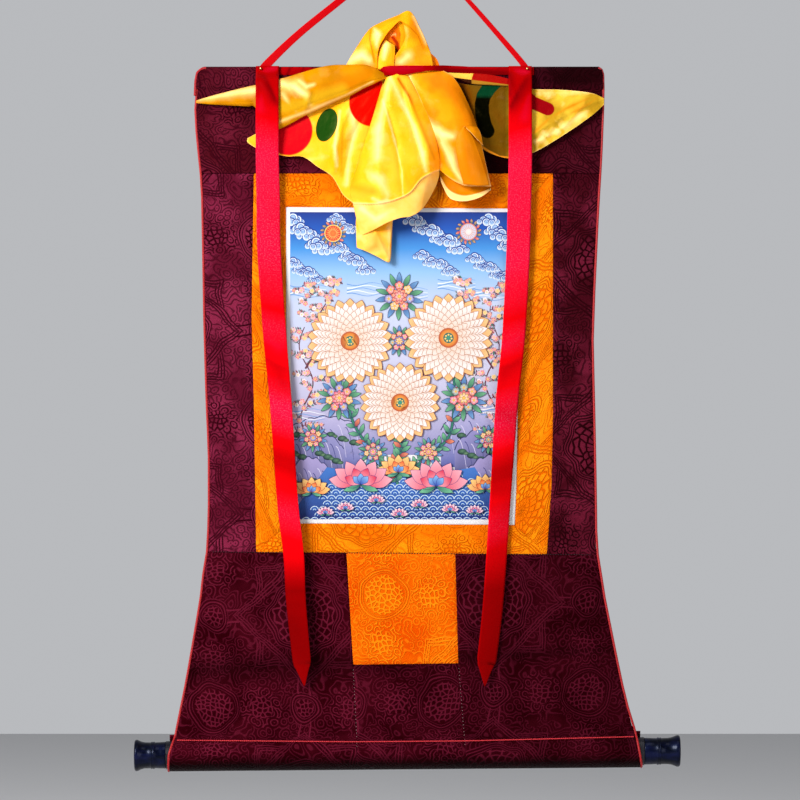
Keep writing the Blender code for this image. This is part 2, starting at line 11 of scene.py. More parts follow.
import bmesh
import bpy
import numpy as np
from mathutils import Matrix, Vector


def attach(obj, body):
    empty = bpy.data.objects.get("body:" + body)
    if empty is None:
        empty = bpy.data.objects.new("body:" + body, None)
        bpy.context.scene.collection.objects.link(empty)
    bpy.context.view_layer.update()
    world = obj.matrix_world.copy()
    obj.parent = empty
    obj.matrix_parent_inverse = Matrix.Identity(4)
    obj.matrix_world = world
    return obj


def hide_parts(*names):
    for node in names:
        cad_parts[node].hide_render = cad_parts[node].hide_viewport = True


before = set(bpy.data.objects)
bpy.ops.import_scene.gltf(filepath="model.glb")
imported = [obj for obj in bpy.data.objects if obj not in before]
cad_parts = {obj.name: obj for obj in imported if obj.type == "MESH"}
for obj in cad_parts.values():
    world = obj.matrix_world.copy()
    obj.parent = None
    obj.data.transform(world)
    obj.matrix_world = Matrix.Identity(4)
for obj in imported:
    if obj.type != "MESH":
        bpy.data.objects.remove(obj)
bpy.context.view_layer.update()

MM = 0.001
SEAM_INSET = 0.02  # that each panel draws back at its seams
SEAM_WIDTH = 2.2  # of the dip that a seam makes in the cloth
SEAM_DIP = 1.1
SEAM_ROWS = (1.2, 2.6, 4.5)  # where a panel's mesh has extra rows beside its seams
BROCADE_THICK = 2.0
CANVAS_THICK = 1.4
SILK_THICK = 0.7
RIBBON_THICK = 0.8

# How strongly the studio lights the front of the scroll, against a white surface that looks white
BRIGHT = 1.85

# The camera looks straight at the scroll, and its picture is this wide where the scroll hangs
VIEW_WIDTH = 1040.0
VIEW_CENTRE_X, VIEW_CENTRE_DROP = -13.0, 596.7
VIEW_DISTANCE = 6000.0

# The mount, as in the part's source, but for the damask's edge and the corners of its head
PIPING_RADIUS = 1.5
EDGE_TO_CLOTH = 2 * PIPING_RADIUS - 0.6
HEM_RADIUS = 20.0
HANG_ROWS = 62  # of a foot's mesh, above its hem
ROLLER_LEFT, ROLLER_RIGHT = -317.0, 304.0
KNOB_LEFT_LENGTH, KNOB_RIGHT_LENGTH = 40.7, 46.7
KNOB_GAP = 0.3
KNOB_SIDES = 64
AXIS_DROP_LEFT, AXIS_DROP_RIGHT = 1058.5, 1053.2
HEAD = 164.0
SHOULDER = 302.0
WAIST_LEFT, WAIST_RIGHT = 794.0, 798.0
WAIST_START, WAIST_END = -265.0, 244.0
HEM_TURN = 30.0
HEM_DEPTH = 30.0  # of the head's thick hem
STAR_REPEAT = 240.0  # of the brocade's figure

Edge = namedtuple("Edge", "drop x")
Strip = namedtuple("Strip", "x drop out width turn")
Roll = namedtuple("Roll", "x top bottom out curl")
Turn = namedtuple("Turn", "along radius")
Crest = namedtuple("Crest", "x drop height before after")


def crest_line(*rows):
    """A line of crests: x, drop, height and the widths before and after it, or one width for both."""
    return [Crest(*row) if len(row) == 5 else Crest(*row, row[3]) for row in rows]


OUTLINE_LEFT = [
    Edge(164, -270), Edge(166, -275), Edge(172, -279.5), Edge(198, -281), Edge(237, -280), Edge(289, -275),
    Edge(316, -272), Edge(370, -271), Edge(424, -270), Edge(493, -269), Edge(597, -266), Edge(663, -263),
    Edge(746, -263), Edge(792, -265), Edge(812, -269), Edge(857, -274), Edge(961, -292), Edge(1010, -302),
    Edge(1035, -307), Edge(1056, -314), Edge(1074, -315),
]
OUTLINE_RIGHT = [
    Edge(164, 248), Edge(166, 251), Edge(174, 253), Edge(207, 253), Edge(285, 250), Edge(350, 246),
    Edge(415, 243), Edge(458, 241), Edge(521, 239), Edge(610, 241), Edge(712, 243), Edge(788, 244),
    Edge(812, 248), Edge(857, 255), Edge(961, 276), Edge(985, 282), Edge(1010, 288), Edge(1032, 294),
    Edge(1075, 302),
]
BORDER_LEFT = [Edge(302, -203), Edge(493, -206), Edge(597, -203), Edge(795, -200)]
BORDER_RIGHT = [Edge(302, 186), Edge(623, 186), Edge(712, 184), Edge(798, 178)]
PAINTING_LEFT = [Edge(346, -161), Edge(493, -161), Edge(597, -159), Edge(757, -156)]
PAINTING_RIGHT = [Edge(348, 143), Edge(597, 140), Edge(712, 138), Edge(759, 136)]
SEAM_LEFT = [Edge(794, -83), Edge(941, -74), Edge(1039, -69), Edge(1078, -68)]
SEAM_RIGHT = [Edge(794, 59), Edge(939, 63), Edge(1039, 71), Edge(1078, 74)]
STITCH_LINE = [(-302.4, 20.0), (-72, 16.4), (72, 16.3), (290.2, 19.6)]  # x, rise above the roller's axis

STREAMER_LEFT = [
    Strip(-185, 163, 6.9, 30, 0), Strip(-185, 170, 7.6, 30, 0), Strip(-185, 175, 12.5, 30, 0),
    Strip(-185, 181, 19.5, 30, 0), Strip(-185, 192, 22.5, 30, 0), Strip(-185, 215, 24, 30, 0),
    Strip(-185, 240, 22.5, 30, 0), Strip(-185, 285, 14.5, 30, 0), Strip(-184, 340, 10, 30.5, 0),
    Strip(-183, 402, 9, 30.5, 0), Strip(-175, 519, 9, 30.5, 8), Strip(-168, 597, 10, 29.5, 14),
    Strip(-159, 727, 11.5, 29, 20), Strip(-151, 798, 11.5, 29, 22), Strip(-148, 857, 12, 28.5, 25),
    Strip(-141, 930, 12, 27, 28), Strip(-140, 941, 11.5, 24.5, 28), Strip(-137, 968, 11, 1.2, 28),
]
STREAMER_RIGHT = [
    Strip(143, 163, 6.9, 30, 0), Strip(143, 170, 7.4, 30, 0), Strip(143, 180, 12, 30.5, 0),
    Strip(143, 200, 14.5, 30.5, 0), Strip(143, 240, 15, 30.5, 0), Strip(143, 285, 14, 30.5, 0),
    Strip(142, 340, 10, 30.5, 0), Strip(140, 415, 9, 30.5, 0), Strip(134, 521, 9, 30, -8),
    Strip(126, 597, 10, 30, -14), Strip(117, 727, 12, 30, -26), Strip(108, 857, 12.5, 29.5, -26),
    Strip(100, 930, 12.5, 29, -30), Strip(98.5, 941, 12, 24.5, -30), Strip(97, 968, 11, 1.2, -30),
]
TIE_BAND = [
    Strip(-199, 169.5, 3.9, 10.5, 0), Strip(-150, 169.5, 3.9, 10.5, 0), Strip(-110, 170.5, 4.1, 10, 0),
    Strip(-75, 171, 5.2, 10, 0), Strip(-58, 171, 7.5, 10, 0), Strip(-44, 171, 13.5, 10.5, 0),
    Strip(-34, 170.5, 19, 11.5, 0), Strip(-24, 170, 22.2, 12.5, 0), Strip(-8, 169.5, 23.4, 12, 0),
    Strip(8, 168.2, 23, 9.5, 0), Strip(22, 167, 21, 7, 0), Strip(32, 166.5, 18, 6.5, 0),
    Strip(42, 166.5, 12.5, 8, 0), Strip(52, 166.8, 7, 8.5, 0), Strip(66, 167.5, 4.8, 9, 0),
    Strip(90, 169, 3.9, 10, 0), Strip(161, 169.5, 3.9, 10.5, 0),
]
HANGING_RIBBON = [
    Strip(-194, 173, 5.4, 12, 0), Strip(-184, 159, 5.4, 11, 0), Strip(-143, 120, 5, 9.5, 0),
    Strip(-84, 72, 3, 9, 8), Strip(-36, 31, 1, 8.5, 35), Strip(-9, 7, 0, 8, 80), Strip(-3.5, 0.9, 0, 8, 90),
    Strip(0, -0.6, 0, 8, 90), Strip(3.5, 1.2, 0, 8, 90), Strip(9, 8.5, 0, 8, 80), Strip(40, 41, 1, 7, 55),
    Strip(74, 76, 3, 7, 45), Strip(117, 125, 5, 7, 25), Strip(145, 158, 5.4, 7.5, 0),
    Strip(154, 173, 5.4, 10, 0),
]

# The gather under the tie
GATHER_CENTRE = (-3.0, 170.0, 12.5)
GATHER_HALF = (36.0, 9.5, 8.0)
PLEATS, PLEAT_DEPTH = 23, 0.09

# The veil's leaves. A rib is a list of places (x, drop, out); ribs lie side by side across a leaf.
LEFT_LEAF = [
    ((-34, 178, 13), (-84, 196, 12), (-136, 218, 10), (-179, 240, 8), (-211, 257, 7)),
    ((-34, 179, 13), (-82, 203, 13), (-133, 230, 11), (-177, 251, 9), (-210, 263, 7)),
    ((-34, 181, 13), (-79, 209, 14), (-125, 242, 12), (-161, 264, 10), (-192, 273, 8)),
    ((-34, 182, 14), (-75, 214, 15), (-114, 250, 13), (-143, 272, 11), (-162, 280, 8)),
    ((-34, 183, 14), (-70, 220, 16), (-103, 256, 14), (-125, 276, 12), (-139, 281, 9)),
    ((-34, 185, 14), (-65, 225, 17), (-91, 263, 17), (-109, 285, 14), (-120, 294, 11)),
    ((-34, 186, 14), (-60, 230, 16), (-82, 268, 15), (-95, 295, 13), (-101, 307, 11)),
    ((-32, 187, 14), (-55, 234, 16), (-73, 273, 14), (-84, 307, 12), (-87, 330, 11)),
    ((-31, 188, 13), (-47, 238, 14), (-62, 277, 13), (-73, 313, 12), (-73, 342, 10)),
]
FRONT = [
    ((-31, 179, 15), (-38, 200, 17), (-52, 242, 15), (-66, 285, 13), (-77, 321, 12), (-74, 341, 11),
     (-69, 364, 10), (-65, 384, 9)),
    ((-29, 178, 19), (-34, 200, 25), (-44, 242, 26), (-56, 285, 25), (-64, 322, 23), (-60, 342, 20),
     (-55, 361, 19), (-49, 377, 18)),
    ((-25, 177, 21), (-26, 200, 30), (-32, 242, 34), (-39, 285, 36), (-43, 324, 35), (-39, 342, 33),
     (-34, 355, 31), (-29, 367, 30)),
    ((-21, 176, 22), (-20, 200, 30), (-20, 242, 36), (-21, 285, 38), (-21, 321, 37), (-18, 337, 35),
     (-14, 348, 33), (-12, 361, 31)),
    ((-16, 174, 22), (-12, 200, 29), (-6, 242, 35), (-3, 285, 38), (-1, 316, 37), (0, 328, 35),
     (1, 342, 33), (1, 359, 30)),
    ((-10, 174, 21), (-3, 200, 28), (6, 242, 34), (12, 278, 37), (14, 298, 36), (14, 311, 34),
     (16, 330, 31), (14, 351, 27)),
    ((-5, 174, 19), (5, 200, 26), (18, 237, 31), (26, 269, 32), (29, 287, 30), (29, 302, 28),
     (27, 318, 24), (24, 337, 20)),
    ((0, 176, 16), (12, 200, 22), (26, 230, 25), (34, 263, 24), (38, 285, 21), (38, 298, 19),
     (37, 308, 17), (34, 318, 15)),
]
HEM_FOLD_SHARE = 5 / 7  # of the front leaf's length, where its turned-up hem ends
RIGHT_FALL = [
    ((-3, 174, 18), (12, 204, 24), (26, 243, 25), (35, 276, 22), (39, 299, 20)),
    ((3, 173, 20), (20, 203, 28), (36, 240, 30), (47, 273, 29), (51, 309, 25)),
    ((9, 172, 20), (30, 200, 29), (48, 234, 33), (58, 269, 33), (62, 316, 29)),
    ((16, 169, 18), (40, 195, 26), (61, 226, 32), (72, 263, 34), (74, 320, 31)),
    ((23, 166, 15), (49, 187, 21), (70, 217, 25), (81, 246, 28), (90, 320, 28)),
    ((30, 164, 11), (56, 178, 13), (75, 212, 15), (88, 248, 16), (105, 320, 18)),
]
LIP = [
    ((38, 298, 12), (39, 304, 12), (40, 313, 14)),
    ((47, 304, 11), (48, 317, 12), (49, 332, 17)),
    ((58, 311, 11), (60, 325, 13), (58, 338, 21)),
    ((72, 315, 12), (73, 328, 15), (73, 339, 24)),
    ((87, 316, 12), (90, 325, 16), (91, 334, 24)),
    ((101, 316, 12), (104, 321, 15), (105, 324, 18)),
]
PANEL = [
    ((69, 243, 36.5), (60, 257, 39), (59.5, 274, 39), (63, 295, 38), (69, 318, 36)),
    ((70, 243.3, 37), (68, 258, 40), (70, 276, 41), (74, 297, 40), (80, 319, 37)),
    ((71, 243.6, 36), (75, 257, 38), (80, 276, 38), (86, 298, 37), (91, 320, 35)),
    ((72, 244, 35), (81, 257, 34), (89, 276, 33), (96, 297, 31), (102.5, 319, 29)),
]
CORNER = [
    ((70, 243.2, 35.5), (79, 251.5, 36), (88, 261, 31.5)),
    ((79, 242.4, 30), (84, 248, 31.5), (91.5, 264, 27)),
    ((87, 243.6, 24), (91, 251, 25), (94.5, 267, 22)),
]
TAIL = [
    ((-57, 330, 8), (-69, 356, 8), (-70, 378, 8), (-69, 399, 8)),
    ((-47, 330, 8), (-55, 356, 8), (-57, 384, 9), (-56, 404, 10)),
    ((-36, 330, 8), (-39, 352, 9), (-42, 384, 12), (-42, 411, 12)),
    ((-26, 330, 8), (-26, 350, 9), (-27, 384, 11), (-28, 418, 10)),
    ((-20, 330, 8), (-22, 350, 8), (-23, 369, 8), (-25, 412, 8)),
]
HOOD = [
    ((-42, 167, 16), (-62, 166, 13), (-84, 164, 8)), ((-42, 151, 19), (-57, 151, 17), (-75, 148, 9)),
    ((-39.5, 139, 21), (-51, 137, 20), (-66, 134, 11)), ((-34, 129, 22), (-45, 125, 22), (-57, 121, 13)),
    ((-28, 120, 22), (-37, 117, 22), (-49, 113, 14)), ((-20.5, 112, 21), (-25, 108, 20), (-31, 104, 14)),
    ((-14, 106, 20), (-15, 102, 18), (-16, 98, 14)), ((-9.5, 108, 20), (-7, 100, 18), (-3, 92, 14)),
    ((-7.5, 115, 20), (-2, 107, 19), (5, 98, 13)), ((-6, 125, 21), (1, 117, 20), (11, 110, 12)),
    ((-8, 134, 21), (3, 127, 20), (17, 122, 12)), ((-14, 143, 20), (5, 139, 20), (23, 136, 11)),
    ((-20, 153, 18), (4, 152, 19), (28, 150, 10)), ((-21.5, 167, 17), (5, 167, 16), (31, 166, 9)),
]
HOOD_BACK = [
    ((-52, 168, 8), (-50, 142, 8), (-38, 121, 10), (-16, 101, 12)),
    ((-29, 168, 10), (-27, 142, 13), (-20, 121, 15), (-10, 99, 14)),
    ((2, 168, 8), (2, 142, 9), (2, 121, 10), (-2, 98, 12)),
]
HOOD_FLAP = [((20, 145, 5), (22, 156, 5), (26, 165, 5)), ((28, 147, 4), (35, 154, 4), (39, 164, 4))]
INNER_FOLD = [
    ((-43, 168, 15), (-42, 152, 16), (-38, 139, 17), (-32, 129.5, 17)),
    ((-32, 168, 19), (-33, 152, 21), (-31, 141, 20), (-27, 133, 18)),
    ((-21, 168, 17), (-20, 154, 19), (-19.5, 144, 18), (-20, 137, 16)),
]
ROLLED_SIDE = [
    Roll(-25, 178, 180.5, 13, 0.5), Roll(-34, 173.5, 181, 19, 0.5), Roll(-42, 169, 184.5, 23, 1),
    Roll(-50, 165, 188.5, 24, 2), Roll(-60, 162.5, 193, 25, 3), Roll(-80, 162.5, 204, 25, 5),
    Roll(-98, 162.5, 212, 24, 6), Roll(-114, 165, 219, 24, 5), Roll(-136, 171, 228, 22, 5),
    Roll(-156, 177, 239, 20, 5), Roll(-172, 181.5, 246, 19, 5), Roll(-186, 185, 248, 18, 5),
    Roll(-200, 188, 218, 16, 5), Roll(-214, 191, 215.5, 14, 4), Roll(-254, 201, 213, 9, 2),
    Roll(-278, 208, 211, 6, 0),
]
WING = [
    Roll(18, 171, 181, 10, 0), Roll(46, 178, 207, 8, 0), Roll(68, 186, 243, 7, 0),
    Roll(91, 188, 269, 7.5, 0), Roll(127, 188, 283, 8, 0), Roll(159, 193, 276, 8, 0),
    Roll(196, 194, 255, 8.5, 0), Roll(234, 198, 229, 9, 0), Roll(252, 205, 213, 7, 0),
]
WING_TOP = [
    Roll(22, 173, 178, 13, 0), Roll(47, 172, 177, 11.5, 0), Roll(62, 172.5, 180, 11, 0),
    Roll(74, 173, 185, 11, 0), Roll(86, 173, 187, 11, 0), Roll(107, 175, 188, 11, 0),
    Roll(125, 179, 189, 10.5, 0), Roll(131, 180.5, 189.5, 10.2, 0),
]

# Creases pressed into the leaves
FRONT_CREASES = [
    crest_line((-23, 181, 1, 9), (-32, 226, 4, 12, 9), (-42, 278, 5, 14, 10), (-39, 337, 2, 12, 8)),
    crest_line((-30, 215, -2, 4), (-17, 261, -2.5, 4), (-11, 326, -1.5, 4)),
    crest_line((-3, 198, 2, 5, 7), (4, 229, 4, 7, 9), (22, 268, 4.5, 7, 9), (26, 304, 2, 6, 7)),
    crest_line((-16, 177, 1, 3), (-8, 207, -2, 4), (3, 246, -3, 5), (14, 285, -2, 5)),
]
LEFT_CREASES = [
    crest_line((-70, 205, 1, 5), (-81, 222, 3.5, 7, 5), (-89, 244, 4, 7, 5), (-96, 266, 3.5, 6, 5),
               (-99, 300, 2, 5, 4)),
    crest_line((-62, 226, -1.5, 5), (-76, 262, -3, 6), (-86, 305, -2, 5)),
]
FALL_CREASES = [
    crest_line((0, 178, 1, 6), (26, 229, 3.5, 7, 8), (52, 272, 4, 8), (66, 308, 2, 6)),
    crest_line((14, 205, -1.5, 5), (32, 246, -3, 5, 6), (42, 290, -2.5, 5)),
]
ROLL_CREASES = [
    crest_line((-165, 181, 2, 5, 4), (-147, 207, 3.5, 6, 4), (-134, 216, 2, 5, 4)),
    crest_line((-147, 178, 2, 5, 4), (-130, 198, 3, 5, 4), (-134, 216, 2, 5, 4)),
    crest_line((-136, 187, 2, 3), (-124, 190, 1.5, 3)),
    crest_line((-250, 204, 1, 4), (-200, 198, 2, 5, 4)),
]
WING_CREASES = [
    crest_line((250, 207, 1.5, 5, 4), (214, 220, 3, 7, 5), (176, 241, 3, 7, 5), (158, 253, 2, 6, 5)),
    crest_line((226, 212, 1, 4, 3), (205, 236, 2.5, 5, 4), (190, 252, 1, 4, 3)),
    crest_line((196, 226, 1, 4, 3), (180, 252, 2, 5, 4), (168, 262, 1, 4, 3)),
    crest_line((75, 200, 1, 5), (92, 225, 2, 7, 6), (124, 236, 1.5, 8, 7)),
]
TAIL_CREASES = [crest_line((-60, 384, 1, 5, 4), (-46, 376, 2.5, 5, 3), (-28, 414, 2, 4, 3))]

# Painted light on the satin, as lines of crests: a painted highlight along a fold (above 0) or painted amber
# shade in one (below 0)
FRONT_PAINTED_LIGHT = [
    crest_line((-25.2, 175.5, 0.4, 2.6), (-35.8, 222.3, 0.8, 3.9), (-41.6, 252.2, 1.1, 7.8, 6.5),
               (-41.6, 282.1, 0.8, 6.5, 5.2)),
    crest_line((-57.2, 300.3, 0.3, 5.2), (-39, 312, 1, 7.8), (-28.6, 331.5, 0.6, 3.9)),
    crest_line((-35.1, 209.3, 0.4, 1.3), (-20.8, 258.7, 0.8, 1.6), (-10.4, 299, 0.8, 1.6),
               (-9.1, 332.8, 0.6, 1.3)),
    crest_line((-24.7, 180.7, 0.5, 2.6), (-10.4, 211.9, 0.9, 3.9, 3.2), (5.2, 241.8, 1, 3.9, 3.2),
               (15.6, 276.9, 1.1, 3.9), (20.2, 300.3, 0.7, 2.6)),
    crest_line((-63.7, 254.8, -0.4, 5.2), (-70.2, 291.2, -0.6, 6.5, 7.8), (-75.4, 319.8, -0.6, 6.5, 7.8),
               (-49.4, 327.6, -0.5, 6.5, 7.8)),
    crest_line((-15.6, 180.7, -1.3, 2), (-1.3, 204.1, -1.3, 2.6), (10.4, 232.7, -0.7, 2.6),
               (31.2, 284.7, -0.6, 3.2, 2.6)),
    crest_line((-18.2, 271.7, -0.3, 5.2), (-2.6, 317.2, -0.4, 6.5)),
    crest_line((-48.1, 335.4, 0.8, 3.9, 2.6), (-39, 340.6, 0.9, 3.9, 2.6), (-29.9, 338, 0.8, 3.9, 2.6)),
    crest_line((-62.4, 348.4, 0.8, 3.9), (-44.2, 362.7, 0.9, 5.2, 3.9), (-23.4, 352.3, 0.3, 3.9)),
]
LEFT_PAINTED_LIGHT = [
    crest_line((-91, 222.3, 0.7, 2.6), (-97.5, 267.8, 1, 2.6), (-94.9, 292.5, 0.8, 2.6)),
    crest_line((-75.4, 222.3, 0.9, 5.2, 3.9), (-71.5, 245.7, 0.8, 5.2, 3.9), (-79.3, 284.7, 0.7, 3.9),
               (-81.9, 317.2, 0.8, 3.9, 2.6)),
    crest_line((-148.2, 289.9, 0.4, 3.9), (-114.4, 282.1, 0.4, 5.2)),
    crest_line((-114.4, 211.9, -0.4, 5.2), (-84.5, 201.5, -0.6, 6.5), (-62.4, 188.5, -0.7, 6.5, 5.2)),
    crest_line((-105.3, 230.1, -0.25, 6.5), (-107.9, 271.7, -0.3, 6.5)),
    crest_line((-87.1, 232.7, -0.5, 2), (-88.4, 271.7, -0.7, 2.6), (-89.7, 300.3, -0.5, 2.6)),
]
FALL_PAINTED_LIGHT = [
    crest_line((-1.3, 172.9, 0.6, 2.6), (2.6, 209.3, 1, 3.9), (16.9, 235.3, 1, 5.2),
               (40.3, 252.2, 1.2, 6.5, 5.2), (54.6, 256.1, 0.9, 3.9)),
    crest_line((41.6, 263.9, 0.9, 2.6, 6), (52, 284.7, 1, 3.2, 6.5), (57.2, 299, 0.9, 2.6, 5.5),
               (67.6, 313.3, 0.8, 2.6)),
    crest_line((31.2, 180.7, -0.5, 9.1, 7.8), (61.1, 202.8, -0.7, 10.4), (78, 235.3, -0.8, 9.1, 7.8)),
    crest_line((33.8, 282.1, -0.6, 3.9), (40.3, 308.1, -0.9, 5.2), (48.1, 326.3, -0.9, 5.2)),
]
ROLL_PAINTED_LIGHT = [
    crest_line((-167.7, 185.9, 0.8, 6.5), (-149.5, 191.1, 1, 6.5, 5.2), (-133.9, 202.8, 1, 3.9),
               (-130, 213.2, 1, 3.2)),
    crest_line((-143, 183.3, 0.6, 2.6), (-133.9, 191.1, 1, 2.6), (-124.8, 188.5, 0.7, 2.6)),
    crest_line((-169, 236, 0.5, 2), (-133.9, 223, 0.7, 2), (-81.9, 201, 0.6, 1.6), (-48, 184, 0.4, 1.3)),
    crest_line((-170, 226, -0.6, 3), (-128, 210, -0.5, 3), (-84, 192, -0.6, 4), (-52, 176, -0.5, 4)),
    crest_line((-165, 200, 0.5, 3), (-158, 212, 0.8, 2, 3), (-148, 222, 0.4, 2)),
    crest_line((-119.6, 200.2, -0.4, 6.5, 5.2), (-84.5, 183.3, -0.6, 10.4, 7.8),
               (-49.4, 167.7, -0.5, 7.8, 5.2)),
    crest_line((-273, 206.7, 0.5, 2.6), (-227.5, 197.6, 0.9, 5.2), (-192.4, 193.7, 0.9, 6.5)),
    crest_line((-166.4, 215.8, -0.3, 3.9), (-143, 211.9, -0.3, 3.9)),
]
WING_PAINTED_LIGHT = [
    crest_line((67.6, 185.9, -2, 6.5), (74.1, 206.7, -2, 7.8), (81.9, 232.7, -1.1, 6.5),
               (88.4, 252.2, -0.6, 5.2)),
    crest_line((104, 206, -0.5, 6.5), (112, 226, -0.7, 8), (124, 248, -0.5, 8)),
    crest_line((101.4, 266.5, -0.6, 5.2, 3.9), (130, 271.7, -0.7, 5.2, 3.9)),
    crest_line((159.9, 250.9, -0.9, 2.6), (180.7, 231.4, -0.9, 2.6), (202.8, 218.4, -0.8, 2.6),
               (234, 204.1, -0.6, 2.6)),
    crest_line((162.5, 261.3, 0.8, 3.9), (188.5, 248.3, 0.9, 5.2), (214.5, 231.4, 0.7, 5.2, 3.9),
               (236.6, 215.8, 0.4, 3.9)),
    crest_line((169, 197.6, 0.4, 6.5, 5.2), (208, 197.6, 0.5, 5.2), (236.6, 196.3, 0.5, 3.9)),
    crest_line((214.5, 222.3, -0.6, 2.6, 3.9), (234, 211.9, -0.9, 3.9), (243.1, 204.1, -0.6, 2.6)),
    crest_line((175.5, 254.8, -0.6, 1.6), (184.6, 263.9, -0.3, 1.6)),
    crest_line((185.9, 237.9, -0.6, 2), (198.9, 248.3, -0.6, 2), (195, 254.8, -0.3, 1.3)),
]
TAIL_PAINTED_LIGHT = [
    crest_line((-42.9, 378.3, -0.5, 6.5), (-44.2, 396.5, -0.7, 7.8, 6.5), (-57.2, 404.3, -0.5, 3.9)),
    crest_line((-27.3, 373.1, 0.6, 2.6), (-27.3, 412.1, 0.6, 2.6)),
    crest_line((-65, 383.5, 0.5, 3.9), (-59.8, 392.6, 0.3, 2.6)),
]
HOOD_PAINTED_LIGHT = [
    crest_line((-78, 156, 0.9, 6.5), (-62.4, 149.5, 1, 6.5), (-53.3, 156, 0.9, 5.2)),
    crest_line((-44.2, 123.5, 0.7, 3.9), (-42.9, 139.1, 0.5, 2.6)),
    crest_line((-51, 116, -1.2, 0.8), (-52, 130, -1.3, 1), (-46, 158, -1.3, 1)),
    crest_line((3.9, 98.8, 0.8, 2), (14.3, 119.6, 1, 2), (20.8, 133.9, 0.7, 2)),
    crest_line((-11.7, 158.6, 0.9, 5.2), (-2.6, 150.8, 0.9, 5.2)),
    crest_line((-13, 106, -0.9, 0.8), (-1, 113, -1.3, 0.9), (10, 124, -1.3, 0.9), (17, 141, -0.8, 0.8)),
    crest_line((-46, 116, 0.5, 2, 3), (-40, 124, 0.9, 3), (-44, 136, 0.4, 2)),
    crest_line((-6, 112, 0.15, 2), (-3, 124, 0.2, 2), (-6, 136, 0.1, 2)),
    crest_line((-41.6, 109.2, -0.3, 5.2, 3.9), (-23.4, 104, -0.5, 3.9), (-14.3, 98.8, -0.6, 3.9)),
]
HOLLOW_PAINTED_LIGHT = [
    crest_line((-24, 124, 0.4, 1), (-19, 122, 0.5, 1), (-17, 128, 0.3, 1)),
    crest_line((-31, 131, -1.4, 2), (-24, 134, -1.7, 2.6), (-16, 146, -1.8, 4)),
    crest_line((-22, 106, -0.6, 1.6), (-15, 118, -1.1, 1.2), (-17, 134, -1.2, 1.2)),
]
INNER_PAINTED_LIGHT = [
    crest_line((-31.2, 136.5, 1.2, 3.9), (-33.8, 154.7, 0.7, 2.6)),
    crest_line((-22.1, 139.1, -0.7, 2), (-22.1, 158.6, -0.8, 2)),
]
STREAMER_PAINTED_LIGHT = [
    crest_line((-168, 163, -1.1, 1.3), (-172, 176, -1.1, 1.3)),
    crest_line((-155, 163, -1.1, 1.6), (-160, 176, -1.1, 1.6)),
    crest_line((-138, 163, -1, 1.3), (-141, 176, -1, 1.3)),
    crest_line((-126, 163, -0.9, 1.3), (-128, 176, -0.9, 1.3)),
    crest_line((-50, 164, -1, 3), (-40, 170, -0.9, 2.6), (-28, 176, -0.5, 2)),
    crest_line((-30, 168, 0.25, 4), (-8, 168, 0.3, 4), (14, 166.5, 0.2, 3)),
    crest_line((36, 167, -0.5, 6), (60, 168, -0.9, 6), (122, 172, -1, 6)),
    crest_line((44, 165, 0.5, 1), (112, 166, 0.5, 1)),
    crest_line((-190, 174, -0.3, 6, 2), (-182, 190, -0.9, 8, 2), (-174, 208, -0.9, 8, 2),
               (-170, 216, -0.3, 4, 2)),
    crest_line((-198, 166, -0.5, 2, 8), (-198, 200, -0.3, 2, 6)),
    crest_line((-196.3, 170.3, 0.5, 3.9, 2.6), (-171.6, 165.1, 0.5, 2.6)),
    crest_line((-192.4, 200.2, 0.3, 3.9), (-193.7, 219.7, 0.4, 5.2)),
    crest_line((-190, 540, -0.4, 10, 3), (-172, 552, -0.45, 10, 3), (-160, 556, -0.3, 10, 3)),
    crest_line((-168, 566, -0.3, 9), (-158, 590, -0.1, 9)),
    crest_line((-186, 516, 0.3, 6), (-170, 528, 0.4, 6)),
    crest_line((156, 172, -0.5, 2, 9), (144, 190, -0.9, 2, 10), (131, 214, -0.9, 2, 8)),
    crest_line((129, 172, -0.6, 2, 7), (129, 200, -0.7, 2, 6)),
    crest_line((131.3, 167.7, 0.5, 3.9, 2.6), (156, 171.6, 0.6, 3.9, 2.6)),
    crest_line((153.4, 201.5, 0.3, 3.9), (148.2, 230.1, 0.4, 5.2)),
    crest_line((114, 556, -0.3, 10, 3), (130, 552, -0.45, 10, 3), (150, 540, -0.4, 10, 3)),
    crest_line((122, 566, -0.3, 9), (114, 590, -0.1, 9)),
    crest_line((146, 516, 0.3, 6), (124, 526, 0.4, 6)),
]

KNOB_PROFILE = [
    Turn(0.0, 17.0), Turn(0.02, 17.4), Turn(0.15, 17.2), Turn(0.34, 16.8), Turn(0.355, 17.3),
    Turn(0.37, 17.75), Turn(0.395, 17.8), Turn(0.41, 17.3), Turn(0.425, 17.3), Turn(0.44, 17.75),
    Turn(0.46, 17.6), Turn(0.475, 16.9), Turn(0.66, 17.0), Turn(0.74, 17.6), Turn(0.8, 18.4),
    Turn(0.86, 19.6), Turn(0.9, 20.35), Turn(0.94, 20.55), Turn(0.97, 20.1), Turn(0.99, 19.2),
    Turn(1.0, 17.6), Turn(1.0, 9.0),
]


# Small sums

def mix(first, last, share):
    return first + (last - first) * share


def x_at(edge, drop):
    return np.interp(drop, [row.drop for row in edge], [row.x for row in edge])


def waist(x):
    return mix(WAIST_LEFT, WAIST_RIGHT, (x - WAIST_START) / (WAIST_END - WAIST_START))


def axis_drop(x):
    return mix(AXIS_DROP_LEFT, AXIS_DROP_RIGHT, (x - ROLLER_LEFT) / (ROLLER_RIGHT - ROLLER_LEFT))


def cloth_out(x, drop):
    """Soft waves of the hanging cloth, which die out at the head and above the roller."""
    share = np.clip((drop - SHOULDER) / (AXIS_DROP_RIGHT - HEM_TURN - SHOULDER), 0, 1)
    return np.sin(np.pi * share) * (1.5 * np.sin(x / 41) + 0.8 * np.sin(drop / 37 + x / 90))


def bump(distance, width):
    return np.exp(-np.abs(distance / width) ** 2)


